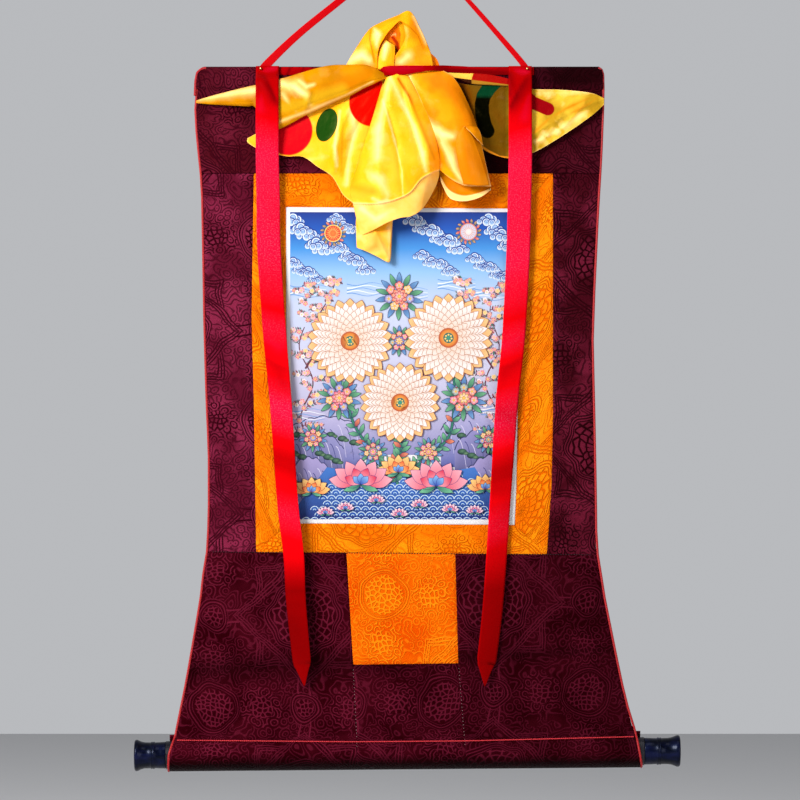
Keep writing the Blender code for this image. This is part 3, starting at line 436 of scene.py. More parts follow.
def smooth_at(values, position, own=None):
    """Catmull-Rom value of a table at positions counted in rows. With own, each takes a column of its own."""
    values = np.asarray(values, float)
    padded = np.concatenate([2 * values[:1] - values[1:2], values, 2 * values[-1:] - values[-2:-1]])
    step = np.clip(np.asarray(position).astype(int), 0, len(values) - 2)
    t = (position - step)[..., None]
    before, start, end, after = (padded[step + k] if own is None else padded[step + k, own] for k in range(4))
    return 0.5 * (2 * start + (end - before) * t + (2 * before - 5 * start + 4 * end - after) * t**2
                  + (3 * start - before - 3 * end + after) * t**3)


def crease_out(x, drop, creases):
    """How far lines of crests push the cloth out at places."""
    total = np.zeros_like(x)
    for crests in creases:
        nearest, push = np.full_like(x, 1e9), np.zeros_like(x)
        for a, b in zip(crests, crests[1:]):
            run, fall = b.x - a.x, b.drop - a.drop
            share = np.clip(((x - a.x) * run + (drop - a.drop) * fall) / (run**2 + fall**2), 0, 1)
            away = np.hypot(x - a.x - run * share, drop - a.drop - fall * share)
            after = (x - a.x) * fall - (drop - a.drop) * run > 0
            width = np.where(after, mix(a.after, b.after, share), mix(a.before, b.before, share))
            closer = away < nearest
            nearest = np.where(closer, away, nearest)
            push = np.where(closer, mix(a.height, b.height, share) * np.exp(-(away / width) ** 1.5), push)
        total += push
    return total


def srgb(red, green, blue):
    """A colour as it looks in the lit scene, 0 to 255, as the linear values that materials take."""
    shares = np.array([red, green, blue]) / 255
    linear = np.where(shares <= 0.04045, shares / 12.92, ((shares + 0.055) / 1.055) ** 2.4) / BRIGHT
    return (*(float(part) for part in linear), 1.0)


def dimmed(colour, share):
    return (*(part * share for part in colour[:3]), 1.0)


# Materials

class Field:
    """A number that a material works out at each point, written as plain arithmetic."""

    def __init__(self, tree, socket):
        self.tree = tree
        self.socket = socket

    def apply(self, operation, *others, clamp=False):
        node = self.tree.nodes.new("ShaderNodeMath")
        node.operation = operation
        node.use_clamp = clamp
        for slot, value in zip(node.inputs, (self, *others)):
            if isinstance(value, Field):
                self.tree.links.new(value.socket, slot)
            else:
                slot.default_value = value
        return Field(self.tree, node.outputs[0])

    def __add__(self, other):
        return self.apply("ADD", other)

    def __sub__(self, other):
        return self.apply("SUBTRACT", other)

    def __mul__(self, other):
        return self.apply("MULTIPLY", other)

    def size(self):
        return self.apply("ABSOLUTE")

    def most(self, other):
        return self.apply("MAXIMUM", other)

    def least(self, other):
        return self.apply("MINIMUM", other)

    def share(self):
        """Kept between 0 and 1."""
        return self.apply("ADD", 0.0, clamp=True)

    def fold(self, period):
        """Distance to the nearest multiple of a period."""
        return self.apply("PINGPONG", period / 2)

    def line(self, at, half, soft=0.7):
        """1 within half of a value, fading out over soft."""
        return (self - at).size().below(half + soft / 2, soft)

    def bands(self, middle, pitch=3.4, half=0.7, reach=5.2):
        """Fine lines side by side, round a value."""
        away = (self - middle).size()
        return away.fold(pitch).below(half, 0.8) * away.below(reach)

    def below(self, limit, soft=0.8):
        return self.apply("MULTIPLY_ADD", -1 / soft, limit / soft + 0.5, clamp=True)

    def above(self, limit, soft=0.8):
        return self.apply("MULTIPLY_ADD", 1 / soft, 0.5 - limit / soft, clamp=True)

    def without(self, other):
        """This one where the other is 0."""
        return self * other.apply("MULTIPLY_ADD", -1.0, 1.0)


def distance(a, b):
    return (a * a + b * b).apply("SQRT")


def new_material(name, rough, tint=None, **settings):
    """A Principled material, with its node tree and its shader."""
    made = bpy.data.materials.new(name)
    made.use_nodes = True
    tree = made.node_tree
    shader = tree.nodes["Principled BSDF"]
    shader.inputs["Roughness"].default_value = rough
    if tint:
        shader.inputs["Specular Tint"].default_value = tint
    for key, value in settings.items():
        shader.inputs[key.replace("_", " ")].default_value = value
    return made, tree, shader


def cloth_places(tree):
    """The cloth's own lengths across and along, in millimetres."""
    places = tree.nodes.new("ShaderNodeUVMap")
    places.uv_map = "cloth"
    split = tree.nodes.new("ShaderNodeSeparateXYZ")
    tree.links.new(places.outputs[0], split.inputs[0])
    return Field(tree, split.outputs[0]) * 1000.0, Field(tree, split.outputs[1]) * 1000.0


def object_places(tree):
    """x and drop of a point, in millimetres."""
    places = tree.nodes.new("ShaderNodeTexCoord")
    split = tree.nodes.new("ShaderNodeSeparateXYZ")
    tree.links.new(places.outputs["Object"], split.inputs[0])
    return Field(tree, split.outputs[0]) * 1000.0, Field(tree, split.outputs[2]) * -1000.0


def joined(tree, x, y):
    node = tree.nodes.new("ShaderNodeCombineXYZ")
    tree.links.new(x.socket, node.inputs[0])
    tree.links.new(y.socket, node.inputs[1])
    return node.outputs[0]


def noise(tree, x, y, size, detail, seed=0.0):
    """Smooth noise with blobs of a size in millimetres: its value and the three channels of its colour."""
    node = tree.nodes.new("ShaderNodeTexNoise")
    node.noise_dimensions = "2D"
    node.inputs["Scale"].default_value = 1.0
    node.inputs["Detail"].default_value = detail
    across, along = x * (1 / size) + seed * 7.3, y * (1 / size) + seed * 3.1
    tree.links.new(joined(tree, across, along), node.inputs["Vector"])
    split = tree.nodes.new("ShaderNodeSeparateColor")
    tree.links.new(node.outputs["Color"], split.inputs[0])
    return Field(tree, node.outputs["Fac"]), [Field(tree, channel) for channel in split.outputs[:3]]


def cells(tree, x, y, feature, order):
    """Distance to the nearest scattered point, or to the nearest edge between their cells, in cells."""
    node = tree.nodes.new("ShaderNodeTexVoronoi")
    node.voronoi_dimensions = "2D"
    node.feature = feature
    node.inputs["Scale"].default_value = 1.0
    node.inputs["Randomness"].default_value = order
    tree.links.new(joined(tree, x, y), node.inputs["Vector"])
    return Field(tree, node.outputs["Distance"])


def blend(tree, share, first, last, kind="MIX"):
    """A colour between two, each a colour or a socket."""
    node = tree.nodes.new("ShaderNodeMix")
    node.data_type = "RGBA"
    node.blend_type = kind
    slots = (node.inputs["Factor"], *(slot for slot in node.inputs if slot.type == "RGBA"))
    for slot, value in zip(slots, (share, first, last)):
        if isinstance(value, Field):
            tree.links.new(value.socket, slot)
        elif isinstance(value, bpy.types.NodeSocket):
            tree.links.new(value, slot)
        else:
            slot.default_value = value
    return next(slot for slot in node.outputs if slot.type == "RGBA")


def finish_look(tree, shader, colour, height, strength, reach):
    """Gives a shader its colour and its relief."""
    tree.links.new(colour, shader.inputs["Base Color"])
    node = tree.nodes.new("ShaderNodeBump")
    node.inputs["Strength"].default_value = strength
    node.inputs["Distance"].default_value = reach
    tree.links.new(height.socket, node.inputs["Height"])
    tree.links.new(node.outputs[0], shader.inputs["Normal"])


def brocade_figure(tree, x, y, fill):
    """The brocade's woven lines, 0 to 1: eight-pointed stars round peonies, with roundels, small peonies and
    curls between them, and nested wandering lines as strong as fill in the rest of the ground.

    All sizes are in millimetres, measured on one quarter of a repeat."""
    u, v = x.fold(STAR_REPEAT), y.fold(STAR_REPEAT)
    far, near = u.most(v), u.least(v)
    half = STAR_REPEAT / 2
    diamond = (u + v) * math.sqrt(0.5)
    beyond = diamond.above(66)
    star = diamond.bands(61).most(far.bands(62) * beyond)
    radius, turn = distance(u, v), v.apply("ARCTAN2", u)
    lobed = radius - (turn * 8).apply("COSINE") * 2.4
    petals = cells(tree, turn * 3.4, radius * (1 / 8.5), "DISTANCE_TO_EDGE", 0.55)
    peony = lobed.bands(46, 3.4, 0.7, 4.6).most(petals.below(0.13, 0.1) * lobed.below(41))
    roundel = distance(far - half, near)
    spokes = near.line(7.5, 0.8) * (far - half).size().below(38) * roundel.above(20)
    rings = roundel.bands(18, 3.7, 0.8, 3.9).most(spokes)
    flower = distance(far - half, near - 58)
    corner = distance(u - half, v - half)
    corner_lobes = corner - (turn * 8).apply("SINE").size() * 2
    small = cells(tree, x * (1 / 6.2), y * (1 / 6.2), "DISTANCE_TO_EDGE", 0.8)
    in_bloom = flower.below(15, 2).most(corner_lobes.below(24, 2)).most(roundel.below(13, 2))
    blooms = (small.below(0.16, 0.12) * in_bloom).most(corner_lobes.bands(30, 3.4, 0.7, 3.4))
    curl = cells(tree, x * (1 / 12.5), y * (1 / 12.5), "F1", 0.9).fold(0.3).below(0.055, 0.06)
    curls = curl * flower.line(21, 4.5, 2) * beyond
    wander, (_, place, _) = noise(tree, x, y, 30, 1.0, 3.0)
    scrolled = place.above(0.5, 0.03)
    winding = (wander * 9.0).fold(1.0).below(0.15, 0.16).without(scrolled).most(curl * scrolled)
    taken = lobed.below(49).most(roundel.below(22)).most(flower.below(26)).most(corner_lobes.below(33))
    lines = winding.without(taken) * fill
    return star.most(peony).most(rings).most(blooms).most(curls).most(lines)


def brocade(name, seed, grounds, line, fill, rough, relief, gloss, weave=1.6, painted_shade=None):
    """A figured silk: a ground between two colours, woven lines in a third, and their relief.

    It is darker with painted shade where its shade mask, a function of x and drop, says so."""
    made, tree, shader = new_material(name, rough, line, Specular_IOR_Level=gloss)
    x, y = cloth_places(tree)
    _, (shift_x, shift_y, _) = noise(tree, x, y, 44, 1.0, seed)
    x, y = x + shift_x * 13, y + shift_y * 13
    lines = brocade_figure(tree, x, y, fill)
    blotch, (faded, _, _) = noise(tree, x, y, 52, 3.0, seed + 2)
    fine, _ = noise(tree, x, y, weave, 2.0, seed + 4)
    woven = lines * (faded * 1.6 + 0.2).share()
    ground = blend(tree, blotch.above(0.5, 0.25), *grounds)
    ground = blend(tree, fine.below(0.42, 0.25) * 0.3, ground, dimmed(grounds[0], 0.5))
    colour = blend(tree, woven * (fine * 0.6 + 0.65), ground, line)
    # Painted shade: where the shade mask gives a share, the cloth darkens towards a dim copy of its ground
    if painted_shade:
        colour = blend(tree, painted_shade(*object_places(tree)).share(), colour, dimmed(grounds[0], 0.12))
    finish_look(tree, shader, colour, lines * relief + fine * 0.5, 0.9, 0.0009)
    return made


def painted_shade_head(x, drop):
    """Painted shade: darker at the right and in the shade round the veil's middle fall."""
    shadow = x.above(86, 20) * x.below(146, 30) * drop.above(262, 24) * 0.98
    shadow = shadow.most(x.above(52, 12) * x.below(90, 20) * drop.below(240, 20) * 0.8)
    return (drop.below(196, 26) * x.above(120, 160) * 0.95).most(x.above(60, 420) * 0.55).most(shadow)


def painted_shade_foot(x, drop):
    """Painted shade: darker under the ribbons' ends, towards the right and on the underside of the roll."""
    band = (drop - 934 + x * 0.05).size().below(15, 26) * 0.58
    return band.most(x.above(90, 380) * 0.45).most((drop + x * 0.0085).above(1060, 16) * 0.92)


def canvas_weave():
    made, tree, shader = new_material("canvas_weave", 0.85, Specular_IOR_Level=0.2)
    x, y = cloth_places(tree)
    weave = x.fold(1.1) * y.fold(1.1)
    stain, _ = noise(tree, x, y, 30, 2.0)
    colour = blend(tree, stain.above(0.5, 0.6) * 0.5, srgb(252, 249, 250), srgb(238, 231, 232))
    finish_look(tree, shader, colour, weave * 3, 0.5, 0.0004)
    return made


def paint():
    made, tree, shader = new_material("paint", 0.6, Specular_IOR_Level=0.25)
    colour = tree.nodes.new("ShaderNodeVertexColor")
    colour.layer_name = "paint"
    x, y = object_places(tree)
    grain, _ = noise(tree, x, y, 1.3, 2.0)
    tinted = blend(tree, grain.above(0.5, 0.5) * 0.16, colour.outputs[0], srgb(255, 255, 255), "SOFT_LIGHT")
    finish_look(tree, shader, tinted, grain, 0.25, 0.0003)
    return made


def tone_of(tree):
    """How far the cloth takes painted highlight (above 0) or painted shade (below 0) at a point."""
    node = tree.nodes.new("ShaderNodeAttribute")
    node.attribute_name = "tone"
    return Field(tree, node.outputs["Fac"])


def red_satin(name, deep, bright, shine):
    """Red satin between two colours, which is pinker with a painted sheen where it shines."""
    made, tree, shader = new_material(name, 0.42, srgb(255, 50, 70), Specular_IOR_Level=0.1)
    shader.inputs["Anisotropic"].default_value = 0.4
    across, along = cloth_places(tree)
    x, drop = object_places(tree)
    tone = tone_of(tree)
    run = drop + (x.size() - 150) * 0.3
    # Painted light and shade: the lit stretch from drop 218 to 802, broken by a painted crease, gets brighter
    # lower down; below it the right ribbon is painted lighter than the left
    lit = (drop.above(218, 60) * drop.below(802, 84) * shine).without(run.line(682, 6, 30) * 0.8)
    # Painted sheen: pinker stretches and a fine pink grain where the satin shines
    painted_sheen = run.above(262, 40) * run.below(450, 70)
    painted_sheen = painted_sheen.most(run.line(612, 6, 34)).most(run.line(748, 4, 26) * 0.5)
    painted_sheen = painted_sheen.most(run.line(512, 4, 20) * 0.5) * shine
    fold, _ = noise(tree, x * 0.5, drop, 55, 2.0, 2.0)
    fine, _ = noise(tree, across * 0.8, along, 1.5, 3.0)
    low = blend(tree, x.above(0, 30), srgb(134, 0, 1), srgb(168, 0, 2))
    full = blend(tree, drop.above(590, 220), srgb(240, 2, 12), srgb(282, 3, 14))
    colour = blend(tree, lit, blend(tree, drop.above(800, 40) * shine, deep, low), full)
    colour = blend(tree, (painted_sheen * (fold * 0.8 + 0.5)).share(), colour, bright)
    colour = blend(tree, painted_sheen * fine.above(0.6, 0.12) * 0.32, colour, srgb(255, 110, 140))
    # Painted shade in the folds lower down, then painted shade and painted highlight along tone
    colour = blend(tree, fold.below(0.42, 0.25) * drop.above(540, 60) * 0.35, colour, srgb(170, 0, 2))
    colour = blend(tree, (tone * -0.85).share(), colour, srgb(112, 0, 4))
    colour = blend(tree, (tone * 0.6).share(), colour, srgb(250, 20, 70))
    finish_look(tree, shader, colour, fine * 0.4 + fold * 2, 0.3, 0.0006)
    return made


def disc(x, drop, centre_x, centre_drop, half_width, half_height, lean=0.0):
    """Inside of an ellipse that may lean to one side."""
    across = (x - centre_x + (drop - centre_drop) * lean) * (1 / half_width)
    return distance(across, (drop - centre_drop) * (1 / half_height)).below(1.0, 0.05)


def near_line(x, drop, marks):
    """Distance to a line through marks."""
    nearest = None
    for (start_x, start_drop), (end_x, end_drop) in zip(marks, marks[1:]):
        run, fall = end_x - start_x, end_drop - start_drop
        share = (((x - start_x) * run + (drop - start_drop) * fall) * (1 / (run**2 + fall**2))).share()
        away = distance(x - start_x - share * run, drop - start_drop - share * fall)
        nearest = away if nearest is None else nearest.least(away)
    return nearest


# Silk colours: SILK_PALE is painted highlight, SILK_AMBER painted amber shade and SILK_SHADE painted deep
# shade
SILK_MID = (0.86, 0.31, 0.003, 1.0)
SILK_LIGHT = (0.86, 0.38, 0.018, 1.0)
SILK_DEEP = (0.72, 0.21, 0.001, 1.0)
SILK_PALE = (0.9, 0.56, 0.2, 1.0)
SILK_AMBER = (0.5, 0.13, 0.0, 1.0)
SILK_SHADE = (0.03, 0.006, 0.0, 1.0)


def yellow_silk(name, spots=None, base=(SILK_MID, SILK_LIGHT), crumple_and_sheen=0.8, gloss=0.2):
    """Yellow satin with painted light along its folds. Its printed spots are what spots(x, drop) gives."""
    made, tree, shader = new_material(name, 0.38, (1.0, 0.74, 0.2, 1.0), Specular_IOR_Level=gloss)
    shader.inputs["Anisotropic"].default_value = 0.4
    across, along = cloth_places(tree)
    x, drop = object_places(tree)
    tone = tone_of(tree)
    bent, _ = noise(tree, x, drop, 19, 3.0, 4.0)
    fine, _ = noise(tree, across * 0.5, along * 2, 1.5, 2.0)
    shade, _ = noise(tree, x, drop, 34, 2.0, 8.0)
    colour = blend(tree, shade.above(0.5, 0.3), *base)
    # Painted light: pale highlights where tone is above 0 and in patches of the crumple noise, amber shade
    # where it is below 0 and in other patches, deep shade where it is far below 0
    colour = blend(tree, (tone * 0.95 + (bent - 0.56) * crumple_and_sheen).share(), colour, SILK_PALE)
    colour = blend(tree, (tone * -0.9 + (shade - 0.58) * crumple_and_sheen).share(), colour, SILK_AMBER)
    for inside, tint in spots(x, drop) if spots else ():
        colour = blend(tree, inside, colour, tint)
    colour = blend(tree, (tone * -0.9 - 0.85).share(), colour, SILK_SHADE)
    finish_look(tree, shader, colour, bent * 2.2 * crumple_and_sheen + fine * 0.2, 0.5, 0.0012)
    return made


def left_spots(x, drop):
    """Two red spots and a green one. The front leaf hides a part of the second."""
    beside_front = (x + (drop - 184.6) * 0.3 + 35).below(0, 0.8)
    return [
        (disc(x, drop, -158, 247, 31.5, 32), srgb(236, 0, 26)),
        (disc(x, drop, -108, 240, 13.5, 21.5, 0.2), srgb(22, 72, 12)),
        (disc(x, drop, -49, 211, 30, 31) * beside_front, srgb(240, 0, 0)),
    ]


def wing_spots(x, drop):
    """A dark crescent, a green print made nearly black by painted shade, with a green top, a red tongue, a
    green sliver at the top edge, a painted highlight along the lower edge, and painted deep shade at the
    left."""
    bow = [(111, 183), (103, 191), (95.6, 202), (93.2, 213), (93.8, 226), (96.6, 239), (100.5, 247.5)]
    crescent = near_line(x, drop, bow).below(9.2, 0.8) * drop.above(184, 1)
    tongue = near_line(x, drop, [(150, 206), (158, 210), (179, 219)]).below(8.3, 0.8)
    tongue = tongue.most(disc(x, drop, 150, 209.5, 15, 13))
    sliver = drop.below(192.5, 0.8) * (x - 168).size().below(16, 6)
    dusk = (x.below(136, 26) * 0.9).most((drop - 246).above(0, 34) * x.below(150, 24) * 0.62)
    rim = near_line(x, drop, [(92, 267), (101, 273), (116, 281), (131, 282.5)]).below(1.4, 1.2)
    return [
        (dusk, srgb(92, 52, 2)), (rim * x.above(90, 4), srgb(246, 150, 34)), (crescent, srgb(0, 2, 0)),
        (crescent * drop.below(203, 5), srgb(0, 62, 34)), (tongue, srgb(158, 0, 14)),
        (sliver, srgb(0, 44, 22)),
    ]


def hollow_spots(x, drop):
    """A painted highlight on a fold at the right of the hood's hollow and painted deep shade in its middle.
    """
    lit = near_line(x, drop, [(-12.5, 107), (-8.5, 122), (-10, 138)]).below(3.4, 2.4)
    deep = near_line(x, drop, [(-22, 127), (-17, 134), (-15, 147)]).below(2.4, 2.4)
    return [(lit, (0.84, 0.34, 0.004, 1.0)), (deep, (0.3, 0.012, 0.0, 1.0))]


def roll_spots(x, drop):
    """A yellower strip along the lower half of the rolled side."""
    strip = near_line(x, drop, [(-162, 218), (-143, 214), (-108, 201), (-88, 195)]).below(7.5, 9)
    return [(strip * 0.9, (0.42, 0.22, 0.004, 1.0))]


def top_spots(x, drop):
    """A red right end over a gold lower strip, which has painted shade at the left."""
    lower = (drop - x * 0.13 - 170.8).above(0, 0.8)
    return [
        ((x + drop * 0.3 - 134).above(0, 1), srgb(180, 0, 8)), (lower, srgb(186, 128, 34)),
        (lower * x.below(80, 2), srgb(52, 8, 6)),
    ]


def lacquer():
    made, tree, shader = new_material("lacquer", 0.36, srgb(150, 180, 255), Specular_IOR_Level=0.16,
                                      Coat_Weight=0.08, Coat_Roughness=0.2)
    x, y = object_places(tree)
    streak, _ = noise(tree, x * 0.3, y, 9, 3.0)
    colour = blend(tree, streak.above(0.56, 0.3), srgb(2, 3, 12), srgb(14, 18, 52))
    tree.links.new(colour, shader.inputs["Base Color"])
    return made


def plain(name, colour, rough, metal=0.0, grain=3.0, strength=0.3):
    """A single-coloured finish, broken up by a fine grain."""
    made, tree, shader = new_material(name, rough, Metallic=metal, Specular_IOR_Level=0.3)
    x, y = object_places(tree)
    value, _ = noise(tree, x, y, grain, 3.0)
    mixed = blend(tree, value.below(0.5, 0.4), colour, dimmed(colour, 0.6))
    finish_look(tree, shader, mixed, value, strength, 0.0005)
    return made


# Making pieces

def add_piece(name, mesh, look):
    piece = bpy.data.objects.new(name, mesh)
    bpy.context.scene.collection.objects.link(piece)
    if look.name not in mesh.materials:
        mesh.materials.append(look)
    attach(piece, "root")
    return piece


def cell_faces(columns, rows):
    corner = (np.arange(rows)[:, None] * (columns + 1) + np.arange(columns)).ravel()
    return np.stack([corner, corner + columns + 1, corner + columns + 2, corner + 1], axis=1)


def cloth(name, across, along, surface, look, thick, start=(0, 0), painted_light=(), hem=None):
    """A sheet on surface(u, v), which takes arrays of shares and gives x, drop and out.

    Its figure begins at start, and its tone follows its lines of crests, as painted highlight and painted
    shade, and what hem(u, v) gives."""
    u, v = np.meshgrid(across, along)
    x, drop, out = (np.asarray(part, float) for part in surface(u.ravel(), v.ravel()))
    places = np.stack([x, -out, -drop], axis=1)
    lattice = places.reshape(len(along), len(across), 3)
    steps_across = np.linalg.norm(np.diff(lattice, axis=1), axis=2)
    steps_along = np.linalg.norm(np.diff(lattice, axis=0), axis=2)
    mesh = bpy.data.meshes.new(name)
    mesh.from_pydata((places * MM).tolist(), [], cell_faces(len(across) - 1, len(along) - 1).tolist())
    from_left = np.concatenate([np.zeros((len(along), 1)), np.cumsum(steps_across, axis=1)], axis=1)
    from_left += lattice[:, :1, 0]
    from_top = np.concatenate([np.zeros((1, len(across))), np.cumsum(steps_along, axis=0)], axis=0)
    own = np.stack([from_left.ravel() + start[0], from_top.ravel() + start[1]], axis=1) * MM
    corner = np.empty(len(mesh.loops), int)
    mesh.loops.foreach_get("vertex_index", corner)
    mesh.uv_layers.new(name="cloth").data.foreach_set("uv", own[corner].ravel())
    # Painted light: tone is painted highlight above 0 and painted shade below 0, from the lines of crests and
    # the hem
    tone = crease_out(x, drop, painted_light) + (hem(u.ravel(), v.ravel()) if hem else 0.0)
    mesh.attributes.new("tone", "FLOAT", "POINT").data.foreach_set("value", tone)
    mesh.shade_smooth()
    piece = add_piece(name, mesh, look)
    thickness = piece.modifiers.new("Thickness", "SOLIDIFY")
    thickness.thickness = thick * MM
    thickness.offset = 0.0
    return piece


def shares(count, size):
    """Even shares of a length in millimetres, with extra ones near both of its ends for the seams."""
    ends = np.array([0.0, *SEAM_ROWS]) / size
    middle = np.linspace(0, 1, count + 1)
    middle = middle[(middle > ends[-1] + 0.4 / count) & (middle < 1 - ends[-1] - 0.4 / count)]
    return np.concatenate([ends, middle, 1 - ends[::-1]])


def seam_dip(u, v, width, length, depth):
    """Cloth drawn in at the seams round a panel."""
    from_side = np.minimum(u, 1 - u) * width
    from_end = np.minimum(v, 1 - v) * length
    return -depth * (bump(from_side, SEAM_WIDTH) + bump(from_end, SEAM_WIDTH))


def joined_mesh(name, parts):
    """One mesh from (places, faces) parts, places in metres."""
    places, faces, count = [], [], 0
    for part_places, part_faces in parts:
        places.append(np.asarray(part_places, float))
        faces += (np.asarray(part_faces) + count).tolist()
        count += len(part_places)
    mesh = bpy.data.meshes.new(name)
    mesh.from_pydata(np.concatenate(places).tolist(), [], faces)
    return mesh


def spindle(start, end, radius):
    """A short thick stitch between two places (x, drop, out)."""
    start, end = (Vector((spot[0], -spot[2], -spot[1])) for spot in (start, end))
    run = (end - start).normalized()
    side_a = run.orthogonal().normalized()
    side_b = run.cross(side_a)
    rings = [start]
    for share, size in ((0.2, 0.85), (0.8, 0.85)):
        for k in range(5):
            turn = 2 * math.pi * k / 5
            reach = (side_a * math.cos(turn) + side_b * math.sin(turn)) * radius * size
            rings.append(start.lerp(end, share) + reach)
    rings.append(end)
    faces = []
    for k in range(5):
        after = (k + 1) % 5
        faces += [(0, 1 + after, 1 + k), (1 + k, 1 + after, 6 + after), (1 + k, 6 + after, 6 + k)]
        faces.append((11, 6 + k, 6 + after))
    return [spot * MM for spot in rings], faces


def stitches(name, line, pitch, length, radius, look, lean=0.0):
    """A row of stitches along line(s), which gives a place (x, drop, out) at a share."""
    marks = np.array([line(share) for share in np.linspace(0, 1, 200)])
    reach = np.concatenate([[0], np.cumsum(np.linalg.norm(np.diff(marks, axis=0), axis=1))])
    parts = []
    for at in np.arange(pitch, reach[-1] - pitch, pitch):
        spot, after = (np.array([np.interp(at + shift, reach, marks[:, k]) for k in range(3)])
                       for shift in (-length / 2, length / 2))
        parts.append(spindle(spot + [0, lean, 0], after - [0, lean, 0], radius))
    piece = add_piece(name, joined_mesh(name, parts), look)
    piece.data.shade_smooth()


# The mount

def side(edge, top, bottom, inward=0.0):
    return lambda share: (x_at(edge, mix(top, bottom, share)) + inward, mix(top, bottom, share))


def straight(start, end):
    return lambda share: (mix(start[0], end[0], share), mix(start[1], end[1], share))


def panel(name, side_a, side_b, columns, rows, look, start, thick=BROCADE_THICK, dip=SEAM_DIP):
    """A pieced panel between two sides, each a function of the share of its length giving (x, drop)."""
    width = math.dist(side_a(0.5), side_b(0.5))
    length = math.dist(side_a(0.0), side_a(1.0))

    def surface(u, v):
        across = mix(SEAM_INSET / width, 1 - SEAM_INSET / width, u)
        along = mix(SEAM_INSET / length, 1 - SEAM_INSET / length, v)
        (x_a, drop_a), (x_b, drop_b) = side_a(along), side_b(along)
        x, drop = mix(x_a, x_b, across), mix(drop_a, drop_b, across)
        return x, drop, cloth_out(x, drop) + seam_dip(u, v, width, length, dip)

    piece = cloth(name, shares(columns, width), shares(rows, length), surface, look, thick,
                  start)
    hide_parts(name)


def add_head(looks):
    width = OUTLINE_RIGHT[4].x - OUTLINE_LEFT[5].x
    length = SHOULDER - HEAD

    def surface(u, v):
        drop = mix(HEAD, SHOULDER - SEAM_INSET, v)
        x = mix(x_at(OUTLINE_LEFT, drop) + EDGE_TO_CLOTH, x_at(OUTLINE_RIGHT, drop) - EDGE_TO_CLOTH, u)
        hem = np.clip((HEM_DEPTH - (drop - HEAD)) / 4, 0, 1)
        roll = 2.2 * hem * np.clip(1 - np.exp(-(drop - HEAD) / 2.2), 0, 1)
        crease = -0.8 * bump(drop - HEAD - HEM_DEPTH, 1.6)
        return x, drop, roll + crease + 0.5 * np.sin(x / 31) * hem

    piece = cloth("brocade_head", shares(90, width), shares(46, length), surface, looks["damask_head"],
                  BROCADE_THICK, (37, 61))
    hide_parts("brocade_top")


def add_upper_panels(looks):
    corners = [[(edge[end].x, edge[end].drop) for edge in (PAINTING_LEFT, PAINTING_RIGHT)] for end in (0, -1)]
    (top_left, top_right), (foot_left, foot_right) = corners
    frame_top_left, frame_top_right = (BORDER_LEFT[0].x, SHOULDER), (BORDER_RIGHT[0].x, SHOULDER)
    frame_foot_left = (BORDER_LEFT[-1].x, waist(BORDER_LEFT[-1].x))
    frame_foot_right = (BORDER_RIGHT[-1].x, waist(BORDER_RIGHT[-1].x))
    frame_left = side(BORDER_LEFT, SHOULDER, frame_foot_left[1])
    frame_right = side(BORDER_RIGHT, SHOULDER, frame_foot_right[1])
    painting_left = side(PAINTING_LEFT, top_left[1], foot_left[1])
    painting_right = side(PAINTING_RIGHT, top_right[1], foot_right[1])
    edge_left = side(OUTLINE_LEFT, SHOULDER, WAIST_LEFT, EDGE_TO_CLOTH)
    edge_right = side(OUTLINE_RIGHT, SHOULDER, WAIST_RIGHT, -EDGE_TO_CLOTH)
    red, gold = looks["damask"], looks["saffron"]
    panel("brocade_left", edge_left, frame_left, 16, 110, red, (62, 30))
    panel("brocade_right", frame_right, edge_right, 16, 110, looks["damask_right"], (-20, 118))
    panel("border_left", frame_left, painting_left, 12, 100, gold, (0, 24))
    panel("border_right", painting_right, frame_right, 12, 100, gold, (86, 70))
    panel("border_top", straight(frame_top_left, top_left), straight(frame_top_right, top_right), 80, 12,
          gold, (15, 160))
    panel("border_bottom", straight(foot_left, frame_foot_left), straight(foot_right, frame_foot_right), 80,
          12, gold, (54, 12))
    panel("canvas", painting_left, painting_right, 60, 80, looks["canvas"], (0, 0), CANVAS_THICK,
          0.5)
    panel("door_panel", side(SEAM_LEFT, waist(SEAM_LEFT[0].x), SEAM_LEFT[1].drop),
          side(SEAM_RIGHT, waist(SEAM_RIGHT[0].x), SEAM_RIGHT[1].drop), 30, 32, looks["saffron_door"],
          (-92, 58))


def hem_section():
    """Where the damask runs down, round the roller and up behind it: out, and rise above the axis."""
    down = [(0.0, HEM_TURN), (0.4, 27.5), (0.8, 25.5), (2.1, 23.2), (4.0, 21.3)]
    turns = np.radians(np.linspace(20, 340, 60))
    wrap = [(HEM_RADIUS * math.sin(turn), HEM_RADIUS * math.cos(turn)) for turn in turns]
    return np.array(down + wrap[1:] + [(-3.7, 22.2), (-2.6, 26.0)])


